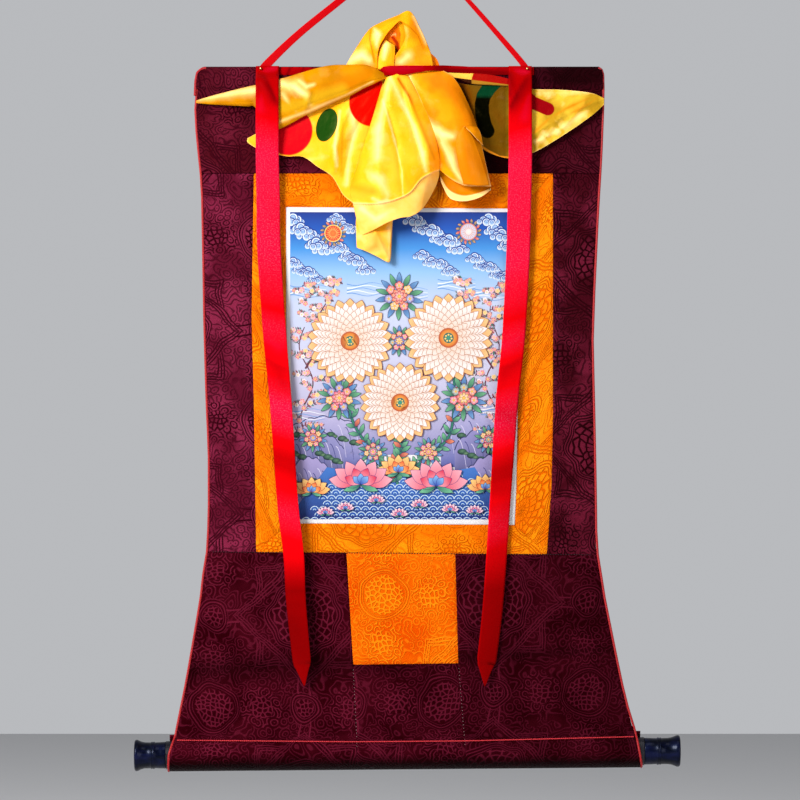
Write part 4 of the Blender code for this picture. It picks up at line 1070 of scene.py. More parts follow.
def add_foot(name, left, right, top_left, top_right, looks, start):
    """A lower damask piece: it hangs from its top seam and its hem is wrapped round the roller."""
    section = hem_section()
    lowest = np.minimum.accumulate(section[:, 1])
    rows = HANG_ROWS + len(section) - 1
    width = abs(right[2].x - left[2].x)

    def surface(u, v):
        row = np.round(v * rows).astype(int)
        inset = mix(SEAM_INSET, -SEAM_INSET, u)
        share = np.clip(row / HANG_ROWS, 0, 1)
        drops = [mix(top + SEAM_INSET, axis_drop(x_at(edge, top)) - HEM_TURN, share)
                 for top, edge in ((top_left, left), (top_right, right))]
        hang_x = mix(x_at(left, drops[0]), x_at(right, drops[1]), u) + inset
        hang_drop = mix(drops[0], drops[1], u)
        k = np.clip(row - HANG_ROWS, 0, len(section) - 1)
        level = AXIS_DROP_LEFT - lowest[k]
        wrap_x = mix(x_at(left, level), x_at(right, level), u) + inset
        wrapped = row >= HANG_ROWS
        x = np.where(wrapped, wrap_x, hang_x)
        from_side = np.minimum(u, 1 - u) * width
        dip = -0.9 * bump(from_side, SEAM_WIDTH) - SEAM_DIP * bump(share * (1030 - top_left), SEAM_WIDTH)
        pucker = 0.35 * np.sin(x / 3.1) * bump(section[k, 1] - 17, 3.2) * wrapped
        drop = np.where(wrapped, axis_drop(wrap_x) - section[k, 1], hang_drop)
        rolled = section[k, 0] + pucker + 0.35 * np.sin(x / 17) * (section[k, 1] < 10)
        return x, drop, np.where(wrapped, rolled, cloth_out(hang_x, hang_drop) + dip)

    piece = cloth(name + "_cloth", shares(60, width), np.linspace(0, 1, rows + 1), surface,
                  looks["damask_foot"], BROCADE_THICK, start)
    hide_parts(name)


def add_feet(looks):
    left = [Edge(row.drop, row.x + EDGE_TO_CLOTH) for row in OUTLINE_LEFT]
    right = [Edge(row.drop, row.x - EDGE_TO_CLOTH) for row in OUTLINE_RIGHT]
    for name, edges, tops, start in (
        ("left", (left, SEAM_LEFT), (waist(WAIST_START), waist(SEAM_LEFT[0].x)), (129, 150)),
        ("middle", (SEAM_LEFT, SEAM_RIGHT), (SEAM_LEFT[1].drop, SEAM_RIGHT[1].drop), (70, 64)),
        ("right", (SEAM_RIGHT, right), (waist(SEAM_RIGHT[0].x), waist(WAIST_END)), (-117, 172)),
    ):
        add_foot("brocade_foot_" + name, *edges, *tops, looks, start)


def add_seams(looks):
    """The stitches that show: pale ones down the foot's seams, red over the roller, dark at the waist."""
    for name, edge in (("stitches_left", SEAM_LEFT), ("stitches_right", SEAM_RIGHT)):
        first = edge[1].drop + 2

        def line(share, edge=edge, first=first):
            drop = mix(first, 1050.0, share)
            x = float(x_at(edge, drop))
            rise = axis_drop(x) - drop
            if rise > HEM_TURN:
                return x, drop, float(cloth_out(x, drop)) + 0.9
            round_it = math.sqrt(max(HEM_RADIUS**2 - rise**2, 0)) if rise < HEM_RADIUS else 0.0
            return x, drop, max(round_it, (HEM_TURN - rise) / 2.2 if rise > 21 else 4.0) + 1.3

        stitches(name, line, 4.6, 1.7, 0.42, looks["pale_thread"], 0.2)

    def over_roller(share):
        x = mix(STITCH_LINE[0][0], STITCH_LINE[-1][0], share)
        rise = float(np.interp(x, [spot[0] for spot in STITCH_LINE], [spot[1] for spot in STITCH_LINE]))
        reach = HEM_RADIUS + BROCADE_THICK / 2 + 1.6
        return x, axis_drop(x) - rise - 0.2, math.sqrt(reach**2 - rise**2)

    stitches("stitches_roller", over_roller, 2.6, 2.0, 0.75, looks["red_thread"], 0.35)

    def along_waist(share):
        x = mix(WAIST_START + 6, WAIST_END - 6, share)
        return x, waist(x), float(cloth_out(x, waist(x))) + 0.35

    stitches("stitches_waist", along_waist, 3.4, 2.2, 0.6, looks["dark_thread"], 0.3)


def add_fray(looks):
    """Whip stitches in red thread round the head's corners."""
    for name, marks in (
        ("fray_left", [(-264, 164.8), (-271, 166.3), (-276.6, 171), (-278.8, 182), (-279.6, 202)]),
        ("fray_right", [(244, 164.8), (248.6, 167), (250.8, 174), (251, 186)]),
    ):
        route = np.array(marks, float)

        def line(share, route=route):
            at = share * (len(route) - 1)
            x, drop = (float(np.interp(at, range(len(route)), route[:, k])) for k in (0, 1))
            return x, drop, 1.6

        stitches(name, line, 1.9, 2.4, 2.2, looks["fray"], -0.5)


# The picture on the canvas: pale lotuses that rise from a pond, between flowering trees, under clouds

PICTURE_MARGINS = (5.2, 9.0)
PICTURE_TOP, PICTURE_FOOT = 352.5, 751.5
PICTURE_LEFT, PICTURE_RIGHT = -156.0, 131.0
PICTURE_MIDDLE = -14.0
INK = srgb(34, 40, 92)
BARK = srgb(104, 48, 66)
BLOSSOM_HEART = srgb(255, 214, 90)
ROUTE_STEPS = 40
FIRST_LEVEL = 0.85  # of the lowest painted shape above the cloth's middle
SHAPE_STEP, MOTIF_STEP = 0.003, 0.006  # in level, from shape to shape and from motif to motif


class Picture:
    """Flat painted shapes on the canvas, each a hair above the ones that it covers."""

    def __init__(self):
        self.places, self.faces, self.tints = [], [], []
        self.count = 0
        self.level = FIRST_LEVEL

    def add(self, x, drop, faces, tints):
        """Shapes that leave the picture are trimmed to its edge."""
        drop = np.clip(np.asarray(drop, float), PICTURE_TOP, PICTURE_FOOT)
        x = np.clip(x, x_at(PAINTING_LEFT, drop) + PICTURE_MARGINS[0],
                    x_at(PAINTING_RIGHT, drop) - PICTURE_MARGINS[1])
        out = cloth_out(x, drop) + self.level
        self.places.append(np.stack([x, -out, -drop], axis=1))
        self.faces += (np.asarray(faces) + self.count).tolist()
        self.tints.append(np.broadcast_to(np.asarray(tints, float), (len(x), 3)))
        self.count += len(x)
        self.level += SHAPE_STEP

    def side_by_side(self, jobs, turns=1):
        """Paints motifs that don't cover each other at the same level, or every so many of them do."""
        for turn in range(turns):
            base = highest = self.level
            for job in jobs[turn::turns]:
                self.level = base
                job()
                highest = max(highest, self.level)
            self.level = highest + MOTIF_STEP

    def strip(self, near, far, tint_near, tint_far, rows=1):
        """The area between two lines of places, shaded from one to the other."""
        near, far = np.asarray(near, float), np.asarray(far, float)
        steps = np.linspace(0, 1, rows + 1)[:, None, None]
        lattice = mix(near, far, steps).reshape(-1, 2)
        tints = mix(np.array(tint_near[:3]), np.array(tint_far[:3]), steps[:, :, 0])
        tints = np.repeat(tints, len(near), axis=0)
        self.add(lattice[:, 0], lattice[:, 1], cell_faces(len(near) - 1, rows), tints)

    def stroke(self, line, width, tint, taper=0.35):
        """A brush line, which may thin towards its end."""
        line = np.asarray(line, float)
        run = np.gradient(line, axis=0)
        across = np.stack([-run[:, 1], run[:, 0]], axis=1)
        across /= np.linalg.norm(across, axis=1, keepdims=True) + 1e-9
        half = np.linspace(width, width * taper, len(line))[:, None] / 2
        self.strip(line + across * half, line - across * half, tint, tint)

    def petal(self, base, angle, length, width, tint_base, tint_tip, rim, point, steps=9, edge=0.6):
        """A petal or leaf that grows from a base place at an angle, in degrees clockwise from straight up."""
        heading = np.array([math.sin(math.radians(angle)), -math.cos(math.radians(angle))])
        across = np.array([-heading[1], heading[0]])
        along = np.linspace(0, 1, steps)
        half = np.sin(np.pi * along**point) * width / 2 + 0.02
        for grow, near, far in ((edge, rim, rim), (0.0, tint_base, tint_tip)):
            if near is None:
                continue
            spine = np.asarray(base) + heading * (along[:, None] * (length + grow) - grow / 2)
            wide = across * (half + grow * 0.8)[:, None]
            lattice = np.stack([spine - wide, spine, spine + wide], axis=1).reshape(-1, 2)
            tints = np.repeat(mix(np.array(near[:3]), np.array(far[:3]), along[:, None]), 3, axis=0)
            self.add(lattice[:, 0], lattice[:, 1], cell_faces(2, steps - 1), tints)

    def disc(self, centre, radius, tint_middle, tint_edge, sides, flat=1.0):
        """A disc, round or flattened, shaded from its middle to its edge."""
        turn = np.linspace(0, 2 * np.pi, sides, endpoint=False)
        x = np.concatenate([[centre[0]], centre[0] + radius * np.cos(turn)])
        drop = np.concatenate([[centre[1]], centre[1] + radius * flat * np.sin(turn)])
        faces = [(0, 1 + (k + 1) % sides, 1 + k, 1 + k) for k in range(sides)]
        tints = np.concatenate([[tint_middle[:3]], np.repeat([tint_edge[:3]], sides, axis=0)])
        self.add(x, drop, faces, tints)

    def arc(self, centre, radius, start, end, width, tint, sides):
        """A part of a ring, between two angles in degrees."""
        turn = np.radians(np.linspace(start, end, sides))
        line = np.stack([centre[0] + radius * np.cos(turn), centre[1] - radius * np.sin(turn)], axis=1)
        self.stroke(line, width, tint, 1.0)

    def piece(self, look):
        mesh = bpy.data.meshes.new("picture")
        faces = [tuple(dict.fromkeys(face)) for face in self.faces]
        mesh.from_pydata((np.concatenate(self.places) * MM).tolist(), [], faces)
        tints = np.concatenate([np.concatenate(self.tints), np.ones((self.count, 1))], axis=1)
        layer = mesh.color_attributes.new("paint", "FLOAT_COLOR", "POINT")
        layer.data.foreach_set("color", tints.ravel())
        add_piece("picture", mesh, look)


def around(centre, reach, angle):
    """The place at a reach and an angle, in degrees clockwise from straight up, from a centre."""
    turn = math.radians(angle)
    return centre[0] + reach * math.sin(turn), centre[1] - reach * math.cos(turn)


def smooth_route(spots):
    """A smooth line of places through spots."""
    positions = np.linspace(0, len(spots) - 1, ROUTE_STEPS)
    return smooth_at([[*spot, 0.0] for spot in spots], positions)[:, :2]


def paint_sky(picture):
    """Bands of blue that pale towards the hills."""
    bands = [
        (350, srgb(8, 44, 136)), (374, srgb(16, 84, 184)), (400, srgb(66, 148, 224)),
        (430, srgb(150, 196, 242)), (470, srgb(202, 212, 240)), (560, srgb(210, 206, 232)),
        (620, srgb(186, 180, 214)), (668, srgb(140, 136, 188)),
    ]
    across = np.linspace(PICTURE_LEFT - 4, PICTURE_RIGHT + 4, 34)

    def band(top, foot):
        lines = (np.stack([across, np.full(34, drop)], 1) for drop in (top[0], foot[0]))
        picture.strip(*lines, top[1], foot[1], 5)

    picture.side_by_side([lambda pair=pair: band(*pair) for pair in zip(bands, bands[1:])])


def paint_cloud(picture, x, drop, size, flip):
    """A curling cloud: overlapping scalloped puffs, shaded from white to blue, with a curl in each."""
    puffs = [(-1.5, 0.35, 0.5), (-0.8, -0.1, 0.7), (0.0, -0.35, 0.85), (0.9, 0.0, 0.65), (1.6, 0.35, 0.5),
             (0.35, 0.4, 0.7), (-0.55, 0.5, 0.6)]
    for across, down, reach in puffs:
        centre = (x + flip * across * size, drop + down * size)
        picture.disc(centre, reach * size * 1.1, srgb(24, 76, 168), srgb(16, 60, 150), 14)
        picture.disc((centre[0], centre[1] + 0.1 * size), reach * size * 0.92, srgb(96, 160, 226),
                     srgb(244, 250, 255), 14)
        picture.arc(centre, reach * size * 0.5, 200, -40, 1.0, srgb(50, 118, 204), 8)


def paint_clouds(picture):
    """Strings of clouds over the upper sky, a sun and a moon disc among them, and bands of mist."""
    strings = [
        ((-152, 362), (-112, 400), 5, 7.5), ((-92, 398), (-58, 424), 4, 6.5), ((6, 362), (62, 396), 6, 7.5),
        ((102, 362), (128, 392), 4, 7.5), ((-152, 418), (-122, 436), 4, 6), ((84, 412), (124, 436), 5, 6),
        ((16, 408), (52, 426), 4, 6), ((-96, 360), (-78, 374), 3, 6),
    ]
    mists = [(-136, 448), (104, 452), (-60, 446), (58, 440), (-138, 610), (112, 604), (-4, 452)]

    def mist(x, drop):
        for k in range(5):
            line = [(x - 22 + 7 * step, drop + 3.4 * k + 2 * math.sin(step + k)) for step in range(8)]
            picture.stroke(line, 1.3, srgb(250, 252, 255) if k % 2 else srgb(104, 156, 218))

    def cloud(start, end, count, size, k):
        x, drop = (mix(start[part], end[part], k / (count - 1)) for part in (0, 1))
        paint_cloud(picture, x, drop + 3 * (k % 2), size, 1 if k % 2 else -1)

    picture.side_by_side([lambda place=place: mist(*place) for place in mists])
    picture.side_by_side([lambda row=row, k=k: cloud(*row, k) for row in strings for k in range(row[2])], 2)
    picture.side_by_side([
        lambda: paint_rays(picture, (-100, 380), 10, (255, 130, 50), (222, 50, 40), (255, 206, 110)),
        lambda: paint_rays(picture, (76, 378), 10, (252, 240, 228), (206, 206, 232), (236, 140, 110)),
    ])


def paint_rays(picture, centre, size, middle, edge, rim):
    """A disc with rays and a leafy wreath."""
    for k in range(16):
        tint = srgb(40, 110, 84) if k % 3 else srgb(224, 60, 96)
        picture.petal(around(centre, size * 1.15, 22.5 * k), 22.5 * k - 30, size * 0.6, size * 0.32, tint,
                      srgb(236, 170, 130), INK, 0.9, 6)
    picture.disc(centre, size * 1.14, srgb(*rim), srgb(*rim), 24)
    picture.disc(centre, size, srgb(*middle), srgb(*edge), 24)
    for k in range(18):
        picture.stroke([around(centre, size * share, 20 * k) for share in (0.4, 0.7, 0.95)], 0.7, srgb(*rim))


def paint_hills(picture):
    """Rounded hills in lilac and slate on both sides of the water, with dark bushes."""
    hills = [
        (-160, -60, 640, 20, (190, 182, 220), (92, 98, 168)),
        (40, 140, 636, 22, (184, 178, 218), (88, 94, 166)),
        (-160, -86, 664, 24, (150, 146, 198), (34, 46, 104)),
        (58, 140, 662, 26, (148, 142, 196), (34, 46, 104)),
        (-160, -100, 700, 26, (170, 156, 206), (50, 70, 120)),
        (70, 140, 700, 28, (166, 152, 204), (48, 66, 118)),
        (-160, -114, 732, 20, (136, 130, 184), (26, 48, 96)),
        (86, 140, 732, 20, (132, 126, 182), (26, 48, 96)),
    ]

    def hill(start, end, foot, height, top_tint, foot_tint):
        across = np.linspace(0, 1, 29)
        x = mix(start, end, across)
        crest = foot - height * (np.sin(np.pi * across) ** 0.7 + 0.16 * np.abs(np.sin(across * 17)))
        bottom = np.stack([x, np.full(29, foot + 48.0)], 1)
        picture.strip(np.stack([x, crest], 1), bottom, srgb(*top_tint), srgb(*foot_tint), 6)
        picture.stroke(np.stack([x, crest], 1), 1.3, INK, 0.8)
        for k in range(9):
            at = mix(start, end, 0.06 + 0.1 * k)
            ridge = foot - height * 0.55
            line = [(at + 2.2 * step, ridge + 1.7 * step * step + 3 * (k % 3)) for step in range(6)]
            picture.stroke(line, 1.1, srgb(52, 54, 128) if k % 2 else srgb(214, 206, 236))
        for k in range(6):
            at = mix(start, end, 0.12 + 0.15 * k)
            drop = foot + 2 + 5 * (k % 3)
            picture.disc((at, drop), 6.4, srgb(14, 36, 44), srgb(14, 36, 44), 11, 0.62)
            picture.disc((at, drop - 0.8), 5.6, srgb(88, 128, 96), srgb(24, 66, 60), 11, 0.6)
            picture.disc((at + 5, drop + 2), 4.2, srgb(110, 146, 104), srgb(32, 74, 62), 10, 0.6)

    for first in range(0, len(hills), 2):
        picture.side_by_side([lambda row=row: hill(*row) for row in hills[first:first + 2]])


def paint_water(picture):
    """Scalloped waves in rows."""
    across = np.linspace(-108, 84, 28)
    top = 692 - 8 * ((across + 12) / 96) ** 2
    picture.strip(np.stack([across, top], 1), np.stack([across * 1.5, np.full(28, 754.0)], 1),
                  srgb(62, 118, 200), srgb(6, 32, 116), 7)

    def wave(row, k):
        centre = (PICTURE_MIDDLE + 11 * (k + 0.5 * (row % 2)), 697 + 7.2 * row)
        for radius, tint in ((5.4, (206, 230, 250)), (3.6, (24, 88, 188)), (1.9, (180, 214, 246))):
            picture.arc(centre, radius, 8, 172, 1.0, srgb(*tint), 7)

    for row in range(9):
        reach = int((84 + 5 * row) / 11)
        picture.side_by_side([lambda k=k: wave(row, k) for k in range(-reach, reach + 1)])


def paint_small(picture, centre, size, tint):
    """A small open blossom."""
    for k in range(5):
        picture.disc(around(centre, size * 0.6, 72 * k + size * 31), size * 0.52, srgb(*tint),
                     mix(np.array(srgb(*tint)), 1 / BRIGHT, 0.55), 7)
    picture.disc(centre, size * 0.34, BLOSSOM_HEART, BLOSSOM_HEART, 6)


def paint_tree(picture, trunk, reach, count, blooms, leaves):
    """A blossoming tree: a bent trunk, twigs on both of its sides, and leaves and blossoms along them."""
    route = smooth_route(trunk)
    picture.stroke(route, 2.4, BARK, 0.3)
    twigs = []
    for k in range(count):
        share = 0.12 + 0.88 * k / (count - 1)
        base = route[int(share * (ROUTE_STEPS - 1))]
        side = 1 if k % 2 else -1
        length = reach * (1 - 0.35 * share) * (0.8 + 0.3 * math.sin(k * 2.7))
        turn = side * (48 + 22 * math.sin(k * 1.9))
        twigs.append([around(base, length * step / 7, turn + side * 3.2 * step) for step in range(8)])
    picture.side_by_side([lambda line=line: picture.stroke(line, 1.2, BARK, 0.5) for line in twigs], 2)

    def leafy(line, k):
        for step in range(1, 8):
            near, far = leaves[(step + k) % len(leaves)]
            for side in (-1, 1):
                run, rise = line[step][0] - line[step - 1][0], line[step - 1][1] - line[step][1]
                heading = math.degrees(math.atan2(run, rise))
                picture.petal(line[step], heading + side * 55, 5.2, 2.2, srgb(*near), srgb(*far), None,
                              0.9, 5)

    def blossoming(line, k):
        for n, step in enumerate((2, 4, 6, 7)):
            centre = around(line[step], 2.2, 90 * (n + k))
            paint_small(picture, centre, 3.4 - 0.3 * n, blooms[(k * 3 + n) % len(blooms)])

    picture.side_by_side([lambda line=line, k=k: leafy(line, k) for k, line in enumerate(twigs)], 2)
    picture.side_by_side([lambda line=line, k=k: blossoming(line, k) for k, line in enumerate(twigs)], 2)


def paint_trees(picture):
    """A tall and a low blossoming tree on each side."""
    blooms = [(232, 60, 84), (250, 150, 170), (252, 226, 230), (214, 24, 60), (250, 190, 70), (244, 110, 60)]
    leaves = [
        ((70, 36, 66), (132, 84, 110)), ((92, 104, 112), (160, 170, 166)),
        ((110, 44, 60), (180, 96, 104)), ((36, 84, 84), (96, 150, 130)),
    ]

    def tree(flip, spots, reach, count):
        trunk = [(PICTURE_MIDDLE + flip * x, drop) for x, drop in spots]
        paint_tree(picture, trunk, reach, count, blooms, leaves)

    tall = [(108, 664), (128, 620), (112, 574), (130, 528), (118, 484), (126, 448)]
    picture.side_by_side([lambda flip=flip: tree(flip, tall, 28, 22) for flip in (-1, 1)])
    low = [(122, 556), (104, 524), (106, 492), (90, 462), (82, 440)]
    picture.side_by_side([lambda flip=flip: tree(flip, low, 19, 15) for flip in (-1, 1)])


def paint_lotus(picture, centre, size, rows, tints, heart):
    """An open lotus seen from the front: rings of rounded petals, each with veins, round a seed head."""
    base_tint, tip_tint, rim, inner = (np.array(tint[:3]) for tint in tints)
    rows_of = [(size * 1.1, 22, srgb(226, 130, 66), srgb(250, 206, 140), srgb(150, 66, 40), 0.5)]
    for row in range(rows):
        share = row / max(rows - 1, 1)
        rows_of.append((size * (1 - 0.74 * row / rows), max(10, round(26 - 15 * row / rows)),
                        mix(base_tint, inner, share * 0.7), mix(tip_tint, inner, share * 0.3), rim, 0.3))
    for number, (reach, count, near, far, edge, start) in enumerate(rows_of):
        def one(k, reach=reach, count=count, near=near, far=far, edge=edge, start=start, number=number):
            angle = 360 * (k + 0.5 * (number % 2)) / count
            picture.petal(around(centre, reach * start, angle), angle, reach * (1 - start),
                          reach * 5.6 / count, near, far, edge, 1.5, 9, 0.75)
            if number:
                for lean in (-0.28, 0.28):
                    spread = 360 / count * lean
                    vein = [around(centre, reach * part, angle + spread) for part in (0.6, 0.74, 0.88)]
                    picture.stroke(vein, 0.6, mix(np.array(far[:3]), edge[:3], 0.55), 0.6)

        picture.side_by_side([lambda k=k: one(k) for k in range(count)], 2)
    for radius, tints in zip((0.25, 0.21, 0.13), heart):
        picture.disc(centre, size * radius, srgb(*tints[0]), srgb(*tints[1]), 20)
    picture.side_by_side([lambda k=k: picture.disc(
        around(centre, size * 0.08, 360 * k / 7), size * 0.026, srgb(255, 230, 150), srgb(240, 190, 90), 7)
        for k in range(7)])


def paint_side_lotus(picture, centre, size, tint_base, tint_tip, rim):
    """A lotus seen from the side, with its petals fanned out."""
    for angle in (-112, -92, 92, 112):
        picture.petal(centre, angle, size * 0.66, size * 0.26, srgb(16, 100, 92), srgb(120, 196, 150),
                      srgb(16, 40, 76), 0.9)
    for spread, length in ((80, 1.0), (56, 0.98), (30, 0.94), (0, 0.92)):
        for angle in sorted({-spread, spread}):
            picture.petal((centre[0] + angle * size * 0.002, centre[1]), angle, size * length,
                          size * 0.46, tint_base, tint_tip, rim, 1.15)
    for angle in (-66, -24, 24, 66):
        picture.petal(centre, angle, size * 0.62, size * 0.36, tint_tip, tint_base, rim, 1.15)
    for angle in (-44, 0, 44):
        picture.petal(centre, angle, size * 0.38, size * 0.24, srgb(30, 70, 176), srgb(140, 190, 240), rim,
                      1.1)


def paint_cluster(picture, centre, size, tints):
    """A posy: leaves all round, then a ring of blossoms round a large one."""
    for k in range(14):
        near, far = ((18, 84, 76), (120, 190, 140)) if k % 2 else ((30, 60, 130), (120, 170, 220))
        picture.petal(around(centre, size * 0.5, 26 * k), 26 * k, size * 0.75, size * 0.26, srgb(*near),
                      srgb(*far), INK, 0.95, 7)
    for k in range(7):
        spot = around(centre, size * 0.56, 360 * k / 7)
        for j in range(5):
            picture.petal(spot, 72 * j + 20 * k, size * 0.24, size * 0.2, srgb(255, 236, 226),
                          srgb(*tints[k % 3]), srgb(110, 16, 50), 1.5, 6, 0.45)
        picture.disc(spot, size * 0.07, srgb(255, 220, 90), srgb(240, 160, 40), 7)
    for ring, reach, tint in ((9, 0.44, tints[3]), (7, 0.3, tints[4])):
        for j in range(ring):
            picture.petal(centre, 360 * j / ring, size * reach, size * reach * 0.5, srgb(255, 240, 230),
                          srgb(*tint), srgb(110, 16, 50), 1.5, 7, 0.5)
    picture.disc(centre, size * 0.1, srgb(255, 226, 110), srgb(236, 150, 40), 10)


def paint_stem(picture, line, width):
    """A lotus stem with long leaves."""
    route = smooth_route(line)
    picture.stroke(route, width + 1.2, INK, 0.8)
    picture.stroke(route, width, srgb(44, 124, 100), 0.8)
    jobs = []
    for k in range(2, ROUTE_STEPS - 2, 3):
        heading = math.degrees(math.atan2(*(route[k + 1] - route[k]) * (1, -1)))
        for side in (-1, 1):
            green, red = ((14, 88, 80), (128, 200, 150)), ((150, 40, 60), (250, 150, 110))
            near, far = green if (k + side) % 4 else red
            jobs.append(lambda k=k, turn=heading + side * 52, near=near, far=far: picture.petal(
                route[k], turn, 15 - 3 * (k % 2), 5.6, srgb(*near), srgb(*far), INK, 0.95, 7))
    picture.side_by_side(jobs, 4)


def paint_garden(picture):
    """Three great pale lotuses on leafy stems, posies between them, and rosy lotuses on the water."""
    for line in (
        [(-24, 704), (-50, 664), (-76, 620), (-84, 560)],
        [(-6, 704), (18, 672), (52, 640), (58, 560)],
        [(-16, 706), (-22, 684), (-12, 664), (-14, 636)],
    ):
        paint_stem(picture, line, 3.0)
    red, rose, gold = (226, 24, 40), (240, 70, 120), (250, 186, 50)
    blue, teal, orange = (44, 84, 190), (20, 130, 120), (246, 104, 30)
    posies = [
        ((-14, 462), 25, (red, gold, blue, orange, red)), ((-14, 520), 16, (orange, rose, teal, blue, gold)),
        ((-92, 594), 23, (blue, red, gold, rose, orange)), ((70, 594), 24, (teal, orange, rose, red, gold)),
        ((-126, 646), 15, (rose, gold, red, orange, blue)), ((102, 648), 15, (gold, red, blue, rose, teal)),
        ((-48, 664), 15, (red, blue, gold, teal, rose)), ((24, 664), 15, (rose, teal, orange, gold, red)),
    ]
    picture.side_by_side([lambda row=row: paint_cluster(picture, *row) for row in posies], 2)
    cream = (srgb(240, 214, 200), srgb(253, 246, 242), srgb(196, 132, 98), srgb(244, 178, 120))
    heart = (
        ((236, 160, 70), (190, 84, 40)), ((255, 206, 100), (226, 120, 40)), ((60, 156, 130), (16, 96, 96)),
    )
    great = [((-78, 520), 50), ((50, 516), 52), ((-13, 600), 47)]
    picture.side_by_side([lambda row=row: paint_lotus(picture, *row, 7, cream, heart) for row in great], 3)
    rosy = (srgb(222, 10, 70), srgb(255, 176, 190), srgb(30, 30, 120))
    amber = (srgb(240, 84, 20), srgb(255, 214, 130), srgb(110, 26, 34))
    on_water = [
        ((-64, 706), 36, *rosy), ((34, 708), 36, *rosy), ((-128, 716), 21, *amber), ((98, 712), 21, *amber),
        ((-15, 690), 24, *amber),
    ]
    picture.side_by_side([lambda row=row: paint_side_lotus(picture, *row) for row in on_water], 2)
    buds = [(-30, 728), (26, 734), (-70, 738), (66, 740), (0, 746), (-96, 744), (98, 742)]
    picture.side_by_side([lambda x=x, drop=drop: paint_side_lotus(
        picture, (PICTURE_MIDDLE + x, drop), 10, srgb(234, 50, 110), srgb(255, 230, 236), srgb(30, 46, 130))
        for x, drop in buds])


def add_picture(looks):
    picture = Picture()
    paint_sky(picture)
    base = picture.level
    levels = []
    for job in ((paint_clouds,), (paint_hills, paint_water), (paint_trees,)):
        picture.level = base
        for paint_part in job:
            paint_part(picture)
        levels.append(picture.level)
    picture.level = max(levels) + MOTIF_STEP
    paint_garden(picture)
    picture.piece(looks["paint"])


# Ribbons

def ribbon(name, node, rows, count, look, creases=()):
    """A satin ribbon along rows of places, with a width and a turn in degrees about its own run."""
    centres = np.array([(row.x, row.drop, row.out) for row in rows], float)
    marks = np.concatenate([[0], np.cumsum(np.linalg.norm(np.diff(centres, axis=0), axis=1))])
    steps = np.unique(np.concatenate([np.linspace(0, marks[-1], count), marks]))
    spots = np.interp(steps, marks, np.arange(len(rows)))

    def surface(u, v):
        position = np.interp(v, np.linspace(0, 1, len(spots)), spots)
        centre = smooth_at(centres, position)
        run = (smooth_at(centres, np.minimum(position + 0.02, len(rows) - 1))
               - smooth_at(centres, np.maximum(position - 0.02, 0)))
        across = np.stack([-run[:, 1], run[:, 0], np.zeros(len(run))], axis=1)
        across /= np.linalg.norm(across, axis=1, keepdims=True)
        width = np.interp(position, range(len(rows)), [row.width for row in rows])
        turn = np.radians(np.interp(position, range(len(rows)), [row.turn for row in rows]))
        reach = (0.5 - u) * width
        spot = centre + across * (reach * np.cos(turn))[:, None]
        out = spot[:, 2] - reach * np.sin(turn) + 0.02 * width * np.cos((u - 0.5) * np.pi)
        return spot[:, 0], spot[:, 1], out + crease_out(spot[:, 0], spot[:, 1], creases)

    piece = cloth(name, np.linspace(0, 1, 13), np.linspace(0, 1, len(spots)), surface, look,
                  RIBBON_THICK, painted_light=STREAMER_PAINTED_LIGHT)
    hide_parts(node)


def add_ribbons(looks):
    ribbon("tie", "tie_band", TIE_BAND, 160, looks["red_band"], [
        crest_line((-100, 166, 0.8, 2), (-60, 173, 0.8, 2)),
        crest_line((-30, 166, 0.7, 2), (30, 170, 0.7, 2)),
    ])
    ribbon("loop", "hanging_ribbon", HANGING_RIBBON, 200, looks["red_loop"])
    ribbon("streamer_red_left", "streamer_left", STREAMER_LEFT, 220, looks["red_satin"], [
        crest_line((-198, 172, 1.2, 4, 3), (-184, 196, 1.4, 4, 3), (-176, 214, 0.5, 3)),
        crest_line((-199, 480, 0.6, 8), (-166, 470, 1.2, 8)),
    ])
    ribbon("streamer_red_right", "streamer_right", STREAMER_RIGHT, 220, looks["red_satin"], [
        crest_line((129, 182, 1.2, 4, 3), (138, 205, 1.4, 4, 3), (156, 190, 0.5, 3)),
        crest_line((122, 476, 0.8, 8), (154, 486, 0.8, 8)),
    ])


# The veil

def ribbed(ribs, creases=(), shape=None):
    """Smooth surface through ribs, u across them and v along them."""
    ribs = np.array(ribs, float)

    def surface(u, v):
        lines = np.stack([smooth_at(rib, v * (ribs.shape[1] - 1)) for rib in ribs])
        x, drop, out = smooth_at(lines, u * (len(ribs) - 1), np.arange(len(u))).T
        out = out + crease_out(x, drop, creases)
        return x, drop, out if shape is None else out + shape(u, v)

    return surface


def rolled(rows, creases=(), shape=None):
    """Smooth surface along stations, whose long edges curl back."""
    table = np.array(rows, float)

    def surface(u, v):
        x, top, bottom, out, curl = smooth_at(table, v * (len(rows) - 1)).T
        drop = mix(top, bottom, u)
        out = out - curl * (2 * u - 1) ** 4 + crease_out(x, drop, creases)
        return x, drop, out if shape is None else out + shape(u, v)

    return surface


def hem_shape(u, v):
    """The front leaf below the fold of its turned-up hem lies a little back."""
    return -1.6 * np.clip((v - HEM_FOLD_SHARE) * 60, 0, 1) + 0.9 * bump(v - HEM_FOLD_SHARE, 0.012)


def roll_shape(u, v):
    """The rolled side's own edge lies along it as a lip."""
    reach = np.clip(v * 6, 0, 1) * np.clip((1 - v) * 4, 0, 1)
    return reach * (-0.5 * bump(u - 0.8, 0.04) + 0.4 * bump(u - 0.9, 0.06) + 1.0 * np.sin(u * np.pi))


def shiny_edges(u, v):
    """Painted highlight along a leaf's cut edges, which catch the light."""
    return 0.55 * (bump(u, 0.012) + bump(1 - u, 0.012) + bump(1 - v, 0.012))


